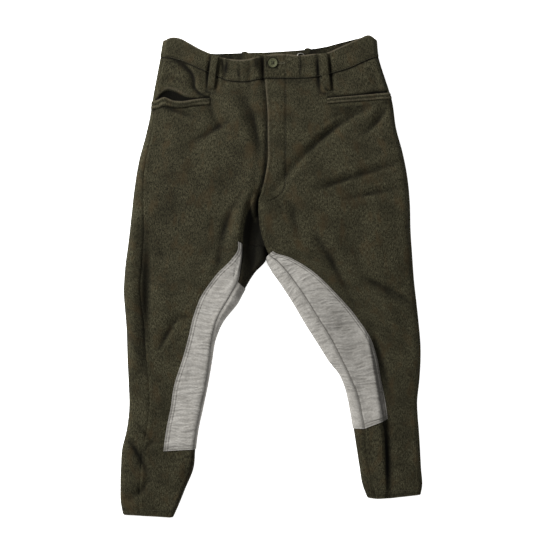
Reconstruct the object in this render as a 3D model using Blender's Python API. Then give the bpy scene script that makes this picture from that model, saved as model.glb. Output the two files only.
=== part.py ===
"""Riding breeches laid flat with the front up, each cut and sewn piece a closed solid.

+X is to the right of the front view, +Y is toward the waist and +Z is up from the surface
that the breeches lie on. Sizes are in millimetres here and in metres in the meshes.
"""

import math
from collections import namedtuple

import bmesh
import bpy
import numpy as np

MM = 0.001

# Driving dimensions
CLOTH = 2.0            # wall of the wool cloth
BAND = 3.0             # wall of the waistband
PATCH = 1.0            # wall of the inner leg patches
WELT = 3.0             # wall of the folded pocket welts
LOOP_WIDTH = 12.0
LOOP_WALL = 1.6
LOOP_DROP = 27.0       # how far a front loop hangs below the waistband
GAP = 0.3              # between neighbours
BAND_HEIGHT = 43.0
BUTTON_WIDTH = 16.5
BUTTON_WALL = 3.0
BUTTON_RIM = 2.2
BUTTON_DISH = 0.8
BUTTON_HOLE = 1.8
BUTTON_HOLE_REACH = 2.1
BUTTON_PLACE = (2.0, 385.0)
RING_WIDTH = 16.0
RING_WIRE = 2.0
RING_PLACE = (52.0, 396.0)
REAR_LOOPS = (-49.0, 65.0)
REAR_LOOP_LENGTH = 62.0
REAR_LOOP_RISE = 3.0   # how far the top of a rear loop stands past the waist edge
FOLD_RADIUS = 3.0      # plan radius of the lower half of a folded side
FOLD_RISE = 2.2        # height from the under layer to the middle of a folded side
ROW_STEP = 20.0
SEAT_SEAM = ((-6.0, 406.0), (-11.0, 33.0))
MIDDLE = (-1.0, 1.03)  # middle of the whole outline, moved to the origin at the end

Row = namedtuple("Row", "name outer_x outer_y edge_x edge_y inseam_x inseam_y inner_x inner_y outseam")
Waist = namedtuple("Waist", "x front_top front_seam back_top")
Fold = namedtuple("Fold", "name start_x start_y mid_x mid_y end_x end_y left right height")
Crown = namedtuple("Crown", "y height")

# Wearer's right half: outer side, pocket and patch edge, inseam, inner side or centre front,
# and how far the outer seam lies in from the side
RIGHT_ROWS = tuple(Row(*row) for row in (
    ("top", -195, 425, -102, 398, -52, 391, 22, 399, 5),
    ("seam", -200, 395, -107, 362, -52, 350, 22, 357, 5),
    ("mouth", -215, 313, -111, 322, -52, 317, 24, 313, 5),
    ("welt", -217, 299, -112, 310, -50, 304, 24, 299, 6),
    ("hip", -226, 256, -110, 268, -41, 259, 25, 252, 10),
    ("seat", -238, 211, -99, 218, -29, 205, 24, 196, 12),
    ("fly_end", -247, 157, -79, 162, -30, 151, 4, 142, 16),
    ("fork_high", -252, 112, -70, 126, -45, 119, -12, 106, 22),
    ("fork_low", -257, 67, -64, 90, -52, 86, -13, 76, 27),
    ("rise", -260, 44, -61, 64, -54, 60, -12.6, 52, 28),
    ("crotch", -263, 22, -62, 48, -54, 42, -12.6, 31, 30),
    ("thigh_a", -265, -2, -74, 30, -56, 19, -31, 9, 30),
    ("thigh_b", -266, -29, -101, 3, -61, -9, -49, -20, 30),
    ("thigh_c", -264, -56, -124, -29, -77, -38, -63, -46, 30),
    ("thigh_d", -261, -93, -140, -68, -99, -77, -90, -81, 32),
    ("knee_a", -260, -122, -150, -108, -109, -114, -104, -115, 32),
    ("knee_b", -259, -153, -160, -146, -114, -151, -110, -151, 34),
    ("knee_c", -257, -194, -176, -196, -121, -196, -118, -196, 36),
    ("calf_a", -256, -236, -182, -236, -130, -239, -127, -239, 36),
    ("calf_b", -261, -277, -190, -275, -138, -277, -135, -277, 36),
    ("patch_end", -269, -311, -195, -313, -142, -310, -139, -309, 36),
    ("calf_c", -271, -340, -198, -344, -145, -342, -142, -342, 36),
    ("calf_d", -272, -378, -205, -381, -160, -380, -157, -380, 34),
    ("cuff", -271, -408, -210, -412, -173, -412, -170, -412, 32),
    ("hem", -267, -428, -214, -431, -182, -433, -179, -432, 30),
))

LEFT_ROWS = tuple(Row(*row) for row in (
    ("top", 188, 426, 93, 402, -14, 401, -14, 401, 3),
    ("seam", 191.5, 396, 96, 362, -12, 359, -12, 359, 3),
    ("mouth", 211.5, 332, 100, 322, -9, 317, -9, 317, 3),
    ("welt", 215, 320, 99, 311, -8, 304, -8, 304, 3),
    ("hip", 223, 268, 90, 267, -7, 252, -7, 252, 3),
    ("seat", 235, 223, 74, 220, -7, 211, -7, 211, 3),
    ("fly_end", 244, 175, 51, 168, -17, 157, -17, 157, 3),
    ("fork_high", 248, 130, 27, 128, -24, 133, -24, 133, 3),
    ("fork_low", 249, 87, 11, 92, -21, 88, -21, 88, 3),
    ("crotch", 252, 40, 2, 47, -5, 41, -9, 34, 3),
    ("thigh_a", 255, -3, 33, 35, 11, 27, -1, 15, 3),
    ("thigh_b", 260, -48, 74, 10, 34, 0, 19, -14, 3),
    ("thigh_c", 264, -86, 115, -29, 57, -32, 41, -48, 3),
    ("thigh_d", 267, -122, 150, -69, 84, -75, 62, -84, 3),
    ("knee_a", 267, -153, 174, -105, 106, -111, 85, -120, 3),
    ("knee_b", 265, -185, 187, -142, 124, -146, 104, -150, 3),
    ("knee_c", 261, -225, 196, -184, 141, -182, 126, -180, 3),
    ("calf_a", 262, -250, 204, -218, 154, -214, 137, -212, 3),
    ("patch_end", 264, -275, 209, -255, 166, -273, 148, -272, 3),
    ("calf_b", 266, -306, 210, -299, 169, -304, 153, -304, 3),
    ("calf_c", 268, -344, 210, -340, 175, -344, 159, -342, 3),
    ("cuff", 270, -376, 212, -376, 183, -376, 165, -376, 3),
    ("hem", 267, -392, 214, -398, 188, -399, 173, -397, 3),
))

WAIST = tuple(Waist(*row) for row in (
    (-195, 425, 395, 424), (-180, 431, 393, 425), (-164, 429, 389, 420),
    (-147, 420, 382, 413), (-129, 410, 374, 407), (-110, 402, 366, 403),
    (-81, 393, 354, 403), (-50, 391, 351, 404), (-14, 399, 357, 405),
    (22, 401, 357, 407), (69, 401, 358, 410), (101, 404, 364, 416),
    (119, 412, 369, 421), (139, 421, 375, 426), (159, 430, 384, 431),
    (175, 435, 391, 434), (188, 427, 396, 427),
))

# Height of the upper layer's middle over the surface, from the waist to the hem
CROWNS = tuple(Crown(*row) for row in (
    (430, 13), (396, 13.5), (320, 15), (250, 16), (160, 17), (60, 16), (-40, 15),
    (-120, 14), (-200, 13), (-300, 12), (-390, 10), (-430, 9),
))

# Folds run from start to end through the middle point; left and right are the widths of the
# slopes on those sides of the run, and a negative height is a valley
RIGHT_FOLDS = tuple(Fold(*row) for row in (
    ("inner_roll", -38, 172, -58, 100, -68, 20, 10, 16, 6.0),
    ("fork_valley", -24, 145, -33, 70, -34, -8, 10, 12, -10.0),
    ("fly_valley", -22, 340, -24, 262, -26, 190, 14, 12, -3.0),
    ("loop_ridge", -94, 350, -70, 312, -52, 262, 12, 22, 3.0),
    ("front_crease", -62, 276, -84, 250, -122, 234, 8, 12, -3.5),
    ("pocket_drag", -188, 302, -162, 294, -134, 286, 8, 10, -3.0),
    ("hip_diagonal", -156, 378, -132, 352, -112, 328, 9, 9, -3.0),
    ("outseam_valley", -221, 40, -223, -36, -222, -114, 9, 7, -3.0),
    ("knee_crease", -171, -77, -190, -108, -201, -130, 8, 9, -3.5),
    ("knee_ridge", -256, -94, -243, -119, -232, -149, 9, 9, 3.0),
    ("calf_crease", -250, -257, -228, -281, -214, -297, 8, 8, -2.5),
    ("calf_bend_high", -262, -289, -236, -328, -221, -365, 9, 8, -4.0),
    ("calf_bend_low", -221, -365, -236, -386, -260, -399, 8, 8, -3.0),
    ("calf_inner", -147, -333, -154, -360, -166, -386, 8, 8, -3.0),
))

LEFT_FOLDS = tuple(Fold(*row) for row in (
    ("hip_short", 209, 308, 192, 282, 168, 258, 8, 10, -4.0),
    ("hip_long", 178, 308, 84, 244, 6, 156, 9, 10, -4.5),
    ("seat_cross", 238, 209, 140, 177, 76, 156, 8, 9, -3.0),
    ("seat_cross_low", 236, 160, 180, 150, 132, 139, 8, 8, -2.5),
    ("crotch_drop", 34, 130, 40, 100, 50, 66, 8, 8, -2.5),
    ("thigh_fold", 76, 76, 112, 18, 155, -62, 10, 8, -3.0),
    ("knee_cross", 173, -4, 214, -24, 262, -52, 8, 9, -3.0),
    ("knee_roll", 193, -27, 213, -64, 228, -106, 10, 9, 3.0),
    ("patch_shadow", 178, -92, 196, -140, 212, -190, 8, 9, -3.5),
    ("calf_roll", 172, -122, 190, -230, 202, -388, 9, 18, 4.0),
    ("calf_shadow", 186, -118, 207, -235, 216, -385, 9, 8, -3.0),
))

# The upper right layer dips under the fly of the left one
DIP = 4.2
DIP_START = 17.0
DIP_END = 3.0

FINISHES = {
    "wool": ((0.046, 0.041, 0.027, 1.0), 0.9, 0.0),
    "patch": ((0.42, 0.40, 0.37, 1.0), 0.85, 0.0),
    "button": ((0.045, 0.042, 0.028, 1.0), 0.35, 0.0),
    "ring": ((0.62, 0.60, 0.56, 1.0), 0.35, 1.0),
}


def smooth_step(low, high, value):
    """Ease from 0 at low to 1 at high."""
    share = np.clip((value - low) / (high - low), 0.0, 1.0)
    return share * share * (3.0 - 2.0 * share)


def through(knots, values, at):
    """Read a smooth curve that passes through the values at the knots."""
    knots = np.asarray(knots, dtype=float)
    values = np.asarray(values, dtype=float)
    slopes = np.gradient(values, knots)
    index = int(np.clip(np.searchsorted(knots, at, side="right") - 1, 0, len(knots) - 2))
    span = knots[index + 1] - knots[index]
    share = (at - knots[index]) / span
    start = (1 + 2 * share) * (1 - share) ** 2
    end = share * share * (3 - 2 * share)
    leave = share * (1 - share) ** 2 * span
    arrive = share * share * (share - 1) * span
    return (start * values[index] + end * values[index + 1]
            + leave * slopes[index] + arrive * slopes[index + 1])


def fold_height(fold, x, y):
    """Height that one fold adds at a place."""
    start = np.array((fold.start_x, fold.start_y), dtype=float)
    middle = np.array((fold.mid_x, fold.mid_y), dtype=float)
    end = np.array((fold.end_x, fold.end_y), dtype=float)
    control = 2.0 * middle - 0.5 * (start + end)
    steps = np.linspace(0.0, 1.0, 17)[:, None]
    path = (1 - steps) ** 2 * start + 2 * steps * (1 - steps) * control + steps ** 2 * end
    place = np.array((x, y), dtype=float)
    runs = path[1:] - path[:-1]
    offsets = place - path[:-1]
    lengths = np.sum(runs * runs, axis=1)
    shares = np.clip(np.sum(offsets * runs, axis=1) / lengths, 0.0, 1.0)
    away = offsets - shares[:, None] * runs
    nearest = int(np.argmin(np.sum(away * away, axis=1)))
    side = runs[nearest][0] * offsets[nearest][1] - runs[nearest][1] * offsets[nearest][0]
    width = fold.left if side > 0 else fold.right
    along = (nearest + shares[nearest]) / len(runs)
    taper = 0.35 + 0.65 * math.sin(math.pi * min(max(along, 0.0), 1.0))
    return fold.height * taper * math.exp(-float(away[nearest] @ away[nearest]) / width ** 2)


def seat_seam_x(y):
    """Place of the centre back seam."""
    (top_x, top_y), (low_x, low_y) = SEAT_SEAM
    return low_x + (top_x - low_x) * (y - low_y) / (top_y - low_y)


def waist_curve(name, x):
    """Height up the body of a named waist line at one place across."""
    knots = [row.x for row in WAIST]
    at = min(max(x, knots[0]), knots[-1])
    return through(knots, [getattr(row, name) for row in WAIST], at)


class Half:
    """One half of the breeches as a single ring of cloth round the body and then the leg."""

    def __init__(self, rows, folds, closes, patch_start, side, cells):
        """Keep the half's tables and work out its grid.

        closes names the first row where the ring is shut on the inner side, patch_start the
        row where the back part of the patch begins; cells gives the columns of each stretch.
        """
        self.rows = rows
        self.folds = folds
        self.side = side
        self.patch_start = patch_start
        self.names = [row.name for row in rows]
        self.closes = self.names.index(closes)
        self.outer_cells, self.front_cells, self.inner_cells, self.under_cells, self.wrap_cells = cells
        path = [(row.edge_x + row.outer_x, row.edge_y + row.outer_y) for row in rows]
        steps = [0.0] + [math.dist(a, b) / 2 for a, b in zip(path, path[1:])]
        self.knots = np.cumsum(steps)
        self.stations = self.make_stations()
        self.edge = self.outer_cells
        self.inseam = self.edge + self.front_cells
        self.inner = self.inseam + self.inner_cells
        self.under = self.inner + 1
        self.last = self.under + 1 + self.under_cells + 2 + self.wrap_cells
        self.points = np.array([self.make_row(row) for row in self.stations])
        self.normals = self.make_normals()

    def make_stations(self):
        """Row numbers, whole and between, about one step apart."""
        numbers = []
        for index in range(len(self.rows) - 1):
            parts = max(1, round((self.knots[index + 1] - self.knots[index]) / ROW_STEP))
            numbers += [index + part / parts for part in range(parts)]
        return numbers + [float(len(self.rows) - 1)]

    def station(self, name):
        """Number of the station that stands on a named row."""
        return self.stations.index(float(self.names.index(name)))

    def read(self, column, row):
        """A column of the row table at any row number."""
        whole = min(int(row), len(self.rows) - 2)
        share = row - whole
        at = self.knots[whole] + share * (self.knots[whole + 1] - self.knots[whole])
        return through(self.knots, [getattr(entry, column) for entry in self.rows], at)

    def height(self, x, y):
        """Height of the upper layer's middle away from its folded sides."""
        knots = [-entry.y for entry in CROWNS]
        at = min(max(-y, knots[0]), knots[-1])
        total = through(knots, [entry.height for entry in CROWNS], at)
        total += sum(fold_height(fold, x, y) for fold in self.folds)
        return total

    def upper(self, x, y, row, from_outer, from_inner):
        """Height of the upper layer with its folded sides and the dip under the fly."""
        top = self.height(x, y)
        low = self.under_height(x, y, row) + FOLD_RISE
        closed = self.closed(row)
        if self.side < 0 and closed < 1.0:
            fly = left_fly_x(y)
            top -= DIP * float(smooth_step(fly - DIP_START, fly - DIP_END, x)) * (1.0 - closed)
            top = max(top, 5.0)
        top = max(top, low + 2.6)
        share = self.profile(from_outer, top - low)
        inner = self.profile(from_inner, top - low)
        share *= 1.0 + (inner - 1.0) * self.rounding(row)
        return low + (top - low) * share

    def rounding(self, row):
        """How far the inner side is rolled down: a little at the fork, fully below it."""
        fork = self.names.index("fork_high")
        if row >= self.closes:
            return 1.0
        if self.side > 0 and row > fork - 1:
            return 0.32 * min(1.0, row - fork + 1)
        return 0.0

    def closed(self, row):
        """1 where the ring is shut on the inner side, 0 above the fork."""
        return 1.0 if row >= self.closes else 0.0

    @staticmethod
    def profile(distance, rise):
        """Quarter ellipse from a folded side up to the flat."""
        width = min(max(1.4 * rise, 3.5), 14.0)
        share = min(max(distance / width, 0.0), 1.0)
        return math.sqrt(1.0 - (1.0 - share) ** 2)

    def under_height(self, x, y, row):
        """Height of the under layer's middle over the surface."""
        base = BAND / 2 if row <= self.names.index("seam") else CLOTH / 2
        if y > 330.0:
            away = min(abs(x - place) for place in REAR_LOOPS)
            base += (LOOP_WALL + GAP) * (1.0 - float(smooth_step(20.0, 40.0, away)))
        return base

    def patched(self, row):
        """Whether the back part of the inner leg patch lies under this row."""
        return self.names.index(self.patch_start) <= row <= self.names.index("patch_end")

    def make_row(self, row):
        """All the points of one row: over the top, round the inner side and back below."""
        outer = np.array((self.read("outer_x", row), self.read("outer_y", row)))
        edge = np.array((self.read("edge_x", row), self.read("edge_y", row)))
        inseam = np.array((self.read("inseam_x", row), self.read("inseam_y", row)))
        inner = np.array((self.read("inner_x", row), self.read("inner_y", row)))
        outseam = self.read("outseam", row)
        across = math.dist(outer, edge)
        inner_run = math.dist(inseam, inner)
        closed = self.closed(row)
        points = []

        def over(place, from_outer, from_inner):
            x, y = place
            y = self.waist_shift(x, y, row, front=True)
            return (x, y, self.upper(x, y, row, from_outer, from_inner))

        for index in range(self.outer_cells + 1):
            share = index / self.outer_cells
            distance = outseam + (across - outseam) * (0.55 * share + 0.45 * share * share)
            place = outer + (edge - outer) * distance / across
            points.append(over(place, distance, 999.0))
        for index in range(1, self.front_cells + 1):
            share = index / self.front_cells
            place = edge + (inseam - edge) * share
            points.append(over(place, 999.0, math.dist(place, inseam) + inner_run))
        for index in range(1, self.inner_cells + 1):
            share = index / self.inner_cells
            share += closed * (share * (2.0 - share) - share)
            place = inseam + (inner - inseam) * share
            points.append(over(place, 999.0, inner_run * (1.0 - share)))
        return points + self.under_row(row, outer, edge, inner, outseam)

    def under_row(self, row, outer, edge, inner, outseam):
        """The points of one row below, from the inner side to the outer seam."""
        closed = self.closed(row)
        points = []
        if closed:
            start = inner
        else:
            start_y = inner[1]
            start = np.array((seat_seam_x(start_y) + self.side * GAP / 2, start_y))
        direction = (outer - start) / math.dist(outer, start)
        lifted = PATCH + GAP if self.patched(row) else 0.0
        length = math.dist(outer, start)
        turn = math.sin(math.radians(50.0))
        inset = FOLD_RADIUS * (1.0 - math.cos(math.radians(50.0)))
        shares = [(inset, turn), (FOLD_RADIUS, 1.0)]
        for distance, drop in shares:
            place = start + direction * distance
            points.append(self.below(place, row, closed * (1.0 - drop), lifted))
        for index in range(1, self.under_cells + 1):
            share = index / self.under_cells
            distance = FOLD_RADIUS + (length - 2 * FOLD_RADIUS) * share ** (1.0 + 0.3 * closed)
            place = start + direction * distance
            points.append(self.below(place, row, 0.0, lifted if index <= 2 else 0.0))
        place = outer - direction * inset
        points.append(self.below(place, row, 1.0 - turn, 0.0))
        points.append(self.below(outer, row, 1.0, 0.0))
        across = math.dist(outer, edge)
        for index in range(1, self.wrap_cells + 1):
            distance = outseam * (index / self.wrap_cells) ** 1.6
            x, y = outer + (edge - outer) * distance / across
            y = self.waist_shift(x, y, row, front=True)
            points.append((x, y, self.upper(x, y, row, distance, 999.0)))
        return points

    def below(self, place, row, rise, lifted):
        """A point of the under layer, raised by a share of the folded side's height."""
        x, y = place
        y = self.waist_shift(x, y, row, front=rise >= 1.0)
        base = self.under_height(x, y, row) + lifted
        return (x, y, base + rise * FOLD_RISE)

    def waist_shift(self, x, y, row, front):
        """Bring a row near the waist onto the curved waist lines."""
        seam = float(self.names.index("seam"))
        if front:
            top, low, reach = waist_curve("front_top", x), waist_curve("front_seam", x), 1.0
        else:
            top = waist_curve("back_top", x)
            low, reach = top - BAND_HEIGHT, 3.0
        if row <= seam:
            return top + (low - top) * row / seam
        if row >= seam + reach:
            return y
        return y + (1.0 - (row - seam) / reach) * (low - self.plain_y(x, seam))

    def plain_y(self, x, row):
        """Height up the body of a row's straight stretches at one place across."""
        columns = ("outer", "edge", "inseam", "inner")
        across = [self.side * -self.read(name + "_x", row) for name in columns]
        up = [self.read(name + "_y", row) for name in columns]
        return float(np.interp(self.side * -x, across, up))

    def make_normals(self):
        """Outward directions of the whole ring, shared by the pieces cut from it."""
        rows, columns = self.points.shape[:2]
        sums = np.zeros((rows, columns, 3))
        for row in range(rows - 1):
            shut = self.stations[row] >= self.closes
            for column in range(columns - 1):
                if column == self.inner and not shut:
                    continue
                if self.inseam <= column < self.inner and not shut and self.side > 0:
                    continue
                a = self.points[row, column]
                b = self.points[row, column + 1]
                c = self.points[row + 1, column + 1]
                d = self.points[row + 1, column]
                normal = np.cross(c - a, d - b) * self.side
                size = np.linalg.norm(normal)
                if size < 1e-6:
                    continue
                normal /= size
                for place in ((row, column), (row, column + 1), (row + 1, column + 1), (row + 1, column)):
                    sums[place] += normal
        joined = sums[:, 0] + sums[:, -1]
        sums[:, 0] = joined
        sums[:, -1] = joined
        size = np.linalg.norm(sums, axis=2, keepdims=True)
        size[size < 1e-6] = 1.0
        return sums / size

    def cut(self, stations, columns, shift=0.0):
        """Copy a block of points, drawn in at its edges by half a gap, and its directions."""
        points = self.points[np.ix_(stations, columns)].copy()
        normals = self.normals[np.ix_(stations, columns)].copy()
        return draw_in(points) + normals * shift, normals

    def on(self, x, y):
        """Point and direction of the upper layer's middle at one place."""
        for row in range(len(self.points) - 1):
            for column in range(self.inner):
                corners = [self.points[row, column], self.points[row, column + 1],
                           self.points[row + 1, column + 1], self.points[row + 1, column]]
                for first, second, third in ((0, 1, 2), (0, 2, 3)):
                    found = inside(corners[first], corners[second], corners[third], x, y)
                    if found is not None:
                        return found, self.normals[row, column]
        raise ValueError("no cloth there")


def inside(a, b, c, x, y):
    """Point of a triangle above a place, or nothing."""
    area = (b[0] - a[0]) * (c[1] - a[1]) - (c[0] - a[0]) * (b[1] - a[1])
    if abs(area) < 1e-9:
        return None
    u = ((x - a[0]) * (c[1] - a[1]) - (c[0] - a[0]) * (y - a[1])) / area
    v = ((b[0] - a[0]) * (y - a[1]) - (x - a[0]) * (b[1] - a[1])) / area
    if u < -1e-9 or v < -1e-9 or u + v > 1 + 1e-9:
        return None
    return a + (b - a) * u + (c - a) * v


def left_fly_x(y):
    """Place of the left half's fly and fork edge at one height."""
    knots = [-row.inner_y for row in LEFT_ROWS[:10]]
    at = min(max(-y, knots[0]), knots[-1])
    return through(knots, [row.inner_x for row in LEFT_ROWS[:10]], at)


def draw_in(points):
    """Move the border of a block of points in by half a gap."""
    moved = points.copy()
    for border, neighbour in ((np.s_[0], np.s_[1]), (np.s_[-1], np.s_[-2]),
                              (np.s_[:, 0], np.s_[:, 1]), (np.s_[:, -1], np.s_[:, -2])):
        way = points[neighbour] - points[border]
        size = np.linalg.norm(way, axis=-1, keepdims=True)
        size[size < 1e-6] = 1.0
        moved[border] += way / size * GAP / 2
    return moved


def finish(name):
    """Material of a named finish."""
    material = bpy.data.materials.get(name) or bpy.data.materials.new(name)
    color, roughness, metallic = FINISHES[name]
    material.use_nodes = True
    shader = material.node_tree.nodes["Principled BSDF"]
    shader.inputs["Base Color"].default_value = color
    shader.inputs["Roughness"].default_value = roughness
    shader.inputs["Metallic"].default_value = metallic
    return material


def add_object(name, vertices, faces, material):
    """Make one closed, smooth shaded object with its faces pointing out."""
    mesh = bpy.data.meshes.new(name)
    mesh.from_pydata([tuple(float(value) * MM for value in vertex) for vertex in vertices], [], faces)
    mesh.materials.append(finish(material))
    shape = bmesh.new()
    shape.from_mesh(mesh)
    bmesh.ops.recalc_face_normals(shape, faces=shape.faces)
    shape.to_mesh(mesh)
    shape.free()
    mesh.shade_smooth()
    piece = bpy.data.objects.new(name, mesh)
    bpy.context.collection.objects.link(piece)
    return piece


def wall(name, points, normals, thickness, material, active=None):
    """Give a block of points a wall and close it along its border."""
    rows, columns = points.shape[:2]
    if active is None:
        active = np.ones((rows - 1, columns - 1), dtype=bool)
    used = {}
    vertices = []

    def vertex(row, column, layer):
        key = (row, column, layer)
        if key not in used:
            used[key] = len(vertices)
            shift = thickness / 2 if layer else -thickness / 2
            vertices.append(points[row, column] + normals[row, column] * shift)
        return used[key]

    faces = []

    def side(first, second):
        a, b = vertex(*first, 0), vertex(*second, 0)
        c, d = vertex(*second, 1), vertex(*first, 1)
        faces.extend(((a, b, c), (a, c, d)))

    def is_active(row, column):
        return 0 <= row < rows - 1 and 0 <= column < columns - 1 and active[row, column]

    for row in range(rows - 1):
        for column in range(columns - 1):
            if not active[row, column]:
                continue
            corners = ((row, column), (row, column + 1), (row + 1, column + 1), (row + 1, column))
            for layer in (0, 1):
                a, b, c, d = (vertex(*corner, layer) for corner in corners)
                faces.extend(((a, b, c), (a, c, d)))
            for (next_row, next_column), first, second in (
                    ((row - 1, column), 0, 1), ((row, column + 1), 1, 2),
                    ((row + 1, column), 2, 3), ((row, column - 1), 3, 0)):
                if not is_active(next_row, next_column):
                    side(corners[first], corners[second])
    return add_object(name, vertices, faces, material)


def draw_in_masked(half, stations, columns, active):
    """Points of a block whose live cells have a step, each live border drawn in by half a gap."""
    points = half.points[np.ix_(stations, columns)].copy()
    normals = half.normals[np.ix_(stations, columns)].copy()
    rows, count = active.shape
    live = np.zeros((rows + 2, count + 2), dtype=bool)
    live[1:-1, 1:-1] = active
    moved = points.copy()
    for row in range(rows + 1):
        for column in range(count + 1):
            around = {(-1, -1): live[row, column], (-1, 1): live[row, column + 1],
                      (1, -1): live[row + 1, column], (1, 1): live[row + 1, column + 1]}
            if not any(around.values()) or all(around.values()):
                continue
            step = np.zeros(3)
            for up, side in (((-1, 0), (around[-1, -1] or around[-1, 1])),
                             ((1, 0), (around[1, -1] or around[1, 1])),
                             ((0, -1), (around[-1, -1] or around[1, -1])),
                             ((0, 1), (around[-1, 1] or around[1, 1]))):
                opposite = (-up[0], -up[1])
                other = {(-1, 0): around[-1, -1] or around[-1, 1],
                         (1, 0): around[1, -1] or around[1, 1],
                         (0, -1): around[-1, -1] or around[1, -1],
                         (0, 1): around[-1, 1] or around[1, 1]}[opposite]
                corner = sum(around.values()) == 3
                if side and (not other or corner and not around_full(around, opposite)
                             and around_full(around, up)):
                    way = points[row + up[0], column + up[1]] - points[row, column]
                    size = np.linalg.norm(way)
                    if size > 1e-6:
                        step += way / size * GAP / 2
            moved[row, column] += step
    return moved, normals


def around_full(around, way):
    """Whether both cells on one side of a point are live."""
    if way[0]:
        return around[way[0], -1] and around[way[0], 1]
    return around[-1, way[1]] and around[1, way[1]]


def build_half(half, name):
    """Cut a half's panels, pocket, band and patches from its ring."""
    top, seam, mouth, welt = (half.station(row) for row in ("top", "seam", "mouth", "welt"))
    end = len(half.stations) - 1
    shut = next(i for i, row in enumerate(half.stations) if row >= half.closes)
    patch_end = half.station("patch_end")

    last_front = half.inner if half.side < 0 else half.inseam
    stations = list(range(seam, end + 1))
    columns = list(range(last_front + 1))
    active = np.ones((len(stations) - 1, len(columns) - 1), dtype=bool)
    active[:welt - seam, :half.edge] = False
    if half.side < 0:
        active[shut - seam:, half.inseam:] = False
        active[shut - seam - 1, half.inner - 1] = False
    points, normals = draw_in_masked(half, stations, columns, active)
    wall("front_" + name, points, normals, CLOTH, "wool", active)

    columns = list(range(half.inseam, half.last + 1))
    active = np.ones((len(stations) - 1, len(columns) - 1), dtype=bool)
    active[:shut - seam, :half.under - half.inseam] = False
    points, normals = draw_in_masked(half, stations, columns, active)
    wall("back_" + name, points, normals, CLOTH, "wool", active)

    build_pocket(half, name, seam, mouth, welt)

    stations = list(range(top, seam + 1))
    around = list(range(half.under, half.last + 1))
    around += list(range(1, (half.inner if half.side < 0 else half.edge + 2) + 1))
    points, normals = half.cut(stations, around)
    wall("waistband_" + name, points, normals, BAND, "wool")

    patch_shift = CLOTH / 2 + GAP + PATCH / 2
    stations = list(range(shut, patch_end + 1))
    points, normals = half.cut(stations, list(range(half.edge, half.inseam + 1)), patch_shift)
    wall("patch_front_" + name, points, normals, PATCH, "patch")
    stations = list(range(half.station(half.patch_start), patch_end + 1))
    columns = list(range(half.inseam, half.under + 4))
    points, normals = half.cut(stations, columns, patch_shift)
    wall("patch_back_" + name, points, normals, PATCH, "patch")


def build_pocket(half, name, seam, mouth, welt):
    """Hip piece above the pocket mouth, tucked under the folded welt below it."""
    columns = list(range(half.edge + 1))
    points, normals = half.cut([mouth, welt], columns, (WELT - CLOTH) / 2)
    wall("pocket_welt_" + name, points, normals, WELT, "wool")

    gape, dip, tuck = (3.5, 2.7, 3.8) if half.side < 0 else (1.6, 2.7, 3.8)
    points, normals = half.cut(list(range(seam, mouth + 1)) + [welt], columns)
    way = points[-3] - points[-2]
    way /= np.linalg.norm(way, axis=1, keepdims=True)
    points[-2] += way * gape - normals[-2] * dip
    points[-1] += way * 2.0 - normals[-1] * tuck
    wall("hip_piece_" + name, points, normals, CLOTH, "wool")


def build_tab(half):
    """Buttoned end of the waistband, from its seam to the fly edge."""
    columns = list(range(half.edge + 2, half.inseam + 1))
    points, normals = half.cut(list(range(half.station("top"), half.station("seam") + 1)), columns)
    wall("waist_tab", points, normals, BAND, "wool")


def build_front_loop(half, name):
    """Belt loop sewn to the top of the waistband and, below it, to the front."""
    top, seam, mouth = (half.station(row) for row in ("top", "seam", "mouth"))
    centre = half.points[top:mouth + 1, half.edge]
    out = half.normals[top:mouth + 1, half.edge]
    sides = []
    for column in (half.edge - 1, half.edge + 1):
        way = half.points[top:mouth + 1, column] - centre
        sides.append(way / np.linalg.norm(way, axis=1, keepdims=True) * LOOP_WIDTH / 2)
    run = np.concatenate(([0.0], np.cumsum(np.linalg.norm(np.diff(centre, axis=0), axis=1))))
    length = run[seam - top] + LOOP_DROP
    rows = []
    stops = sorted({0.0, 4.0, 12.0, float(run[seam - top]), length - 3.0, length}
                   | {float(value) for value in run if 12.0 < value < length - 3.0})
    for stop in stops:
        lift = BAND / 2 + GAP + LOOP_WALL / 2
        lift += 1.6 * math.sin(math.pi * min(max(stop / length, 0.0), 1.0)) ** 0.5
        middle = np.array([np.interp(stop, run, centre[:, axis]) for axis in range(3)])
        normal = np.array([np.interp(stop, run, out[:, axis]) for axis in range(3)])
        row = []
        for side in (sides[0], None, sides[1]):
            shift = np.zeros(3) if side is None else np.array(
                [np.interp(stop, run, side[:, axis]) for axis in range(3)])
            row.append(middle + shift + normal * lift)
        rows.append(row)
    points = np.array(rows)
    normals = np.zeros_like(points)
    normals[..., 2] = 1.0
    wall("belt_loop_front_" + name, points, normals, LOOP_WALL, "wool")


def build_rear_loop(x, name):
    """Belt loop under the back of the waistband, flat on the surface."""
    top = waist_curve("back_top", x) + REAR_LOOP_RISE
    rows = [[(x + side * LOOP_WIDTH / 2, top - drop, LOOP_WALL / 2) for side in (-1, 0, 1)]
            for drop in (0.0, REAR_LOOP_LENGTH / 2, REAR_LOOP_LENGTH)]
    points = np.array(rows)
    normals = np.zeros_like(points)
    normals[..., 2] = 1.0
    wall("belt_loop_rear_" + name, points, normals, LOOP_WALL, "wool")


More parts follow.
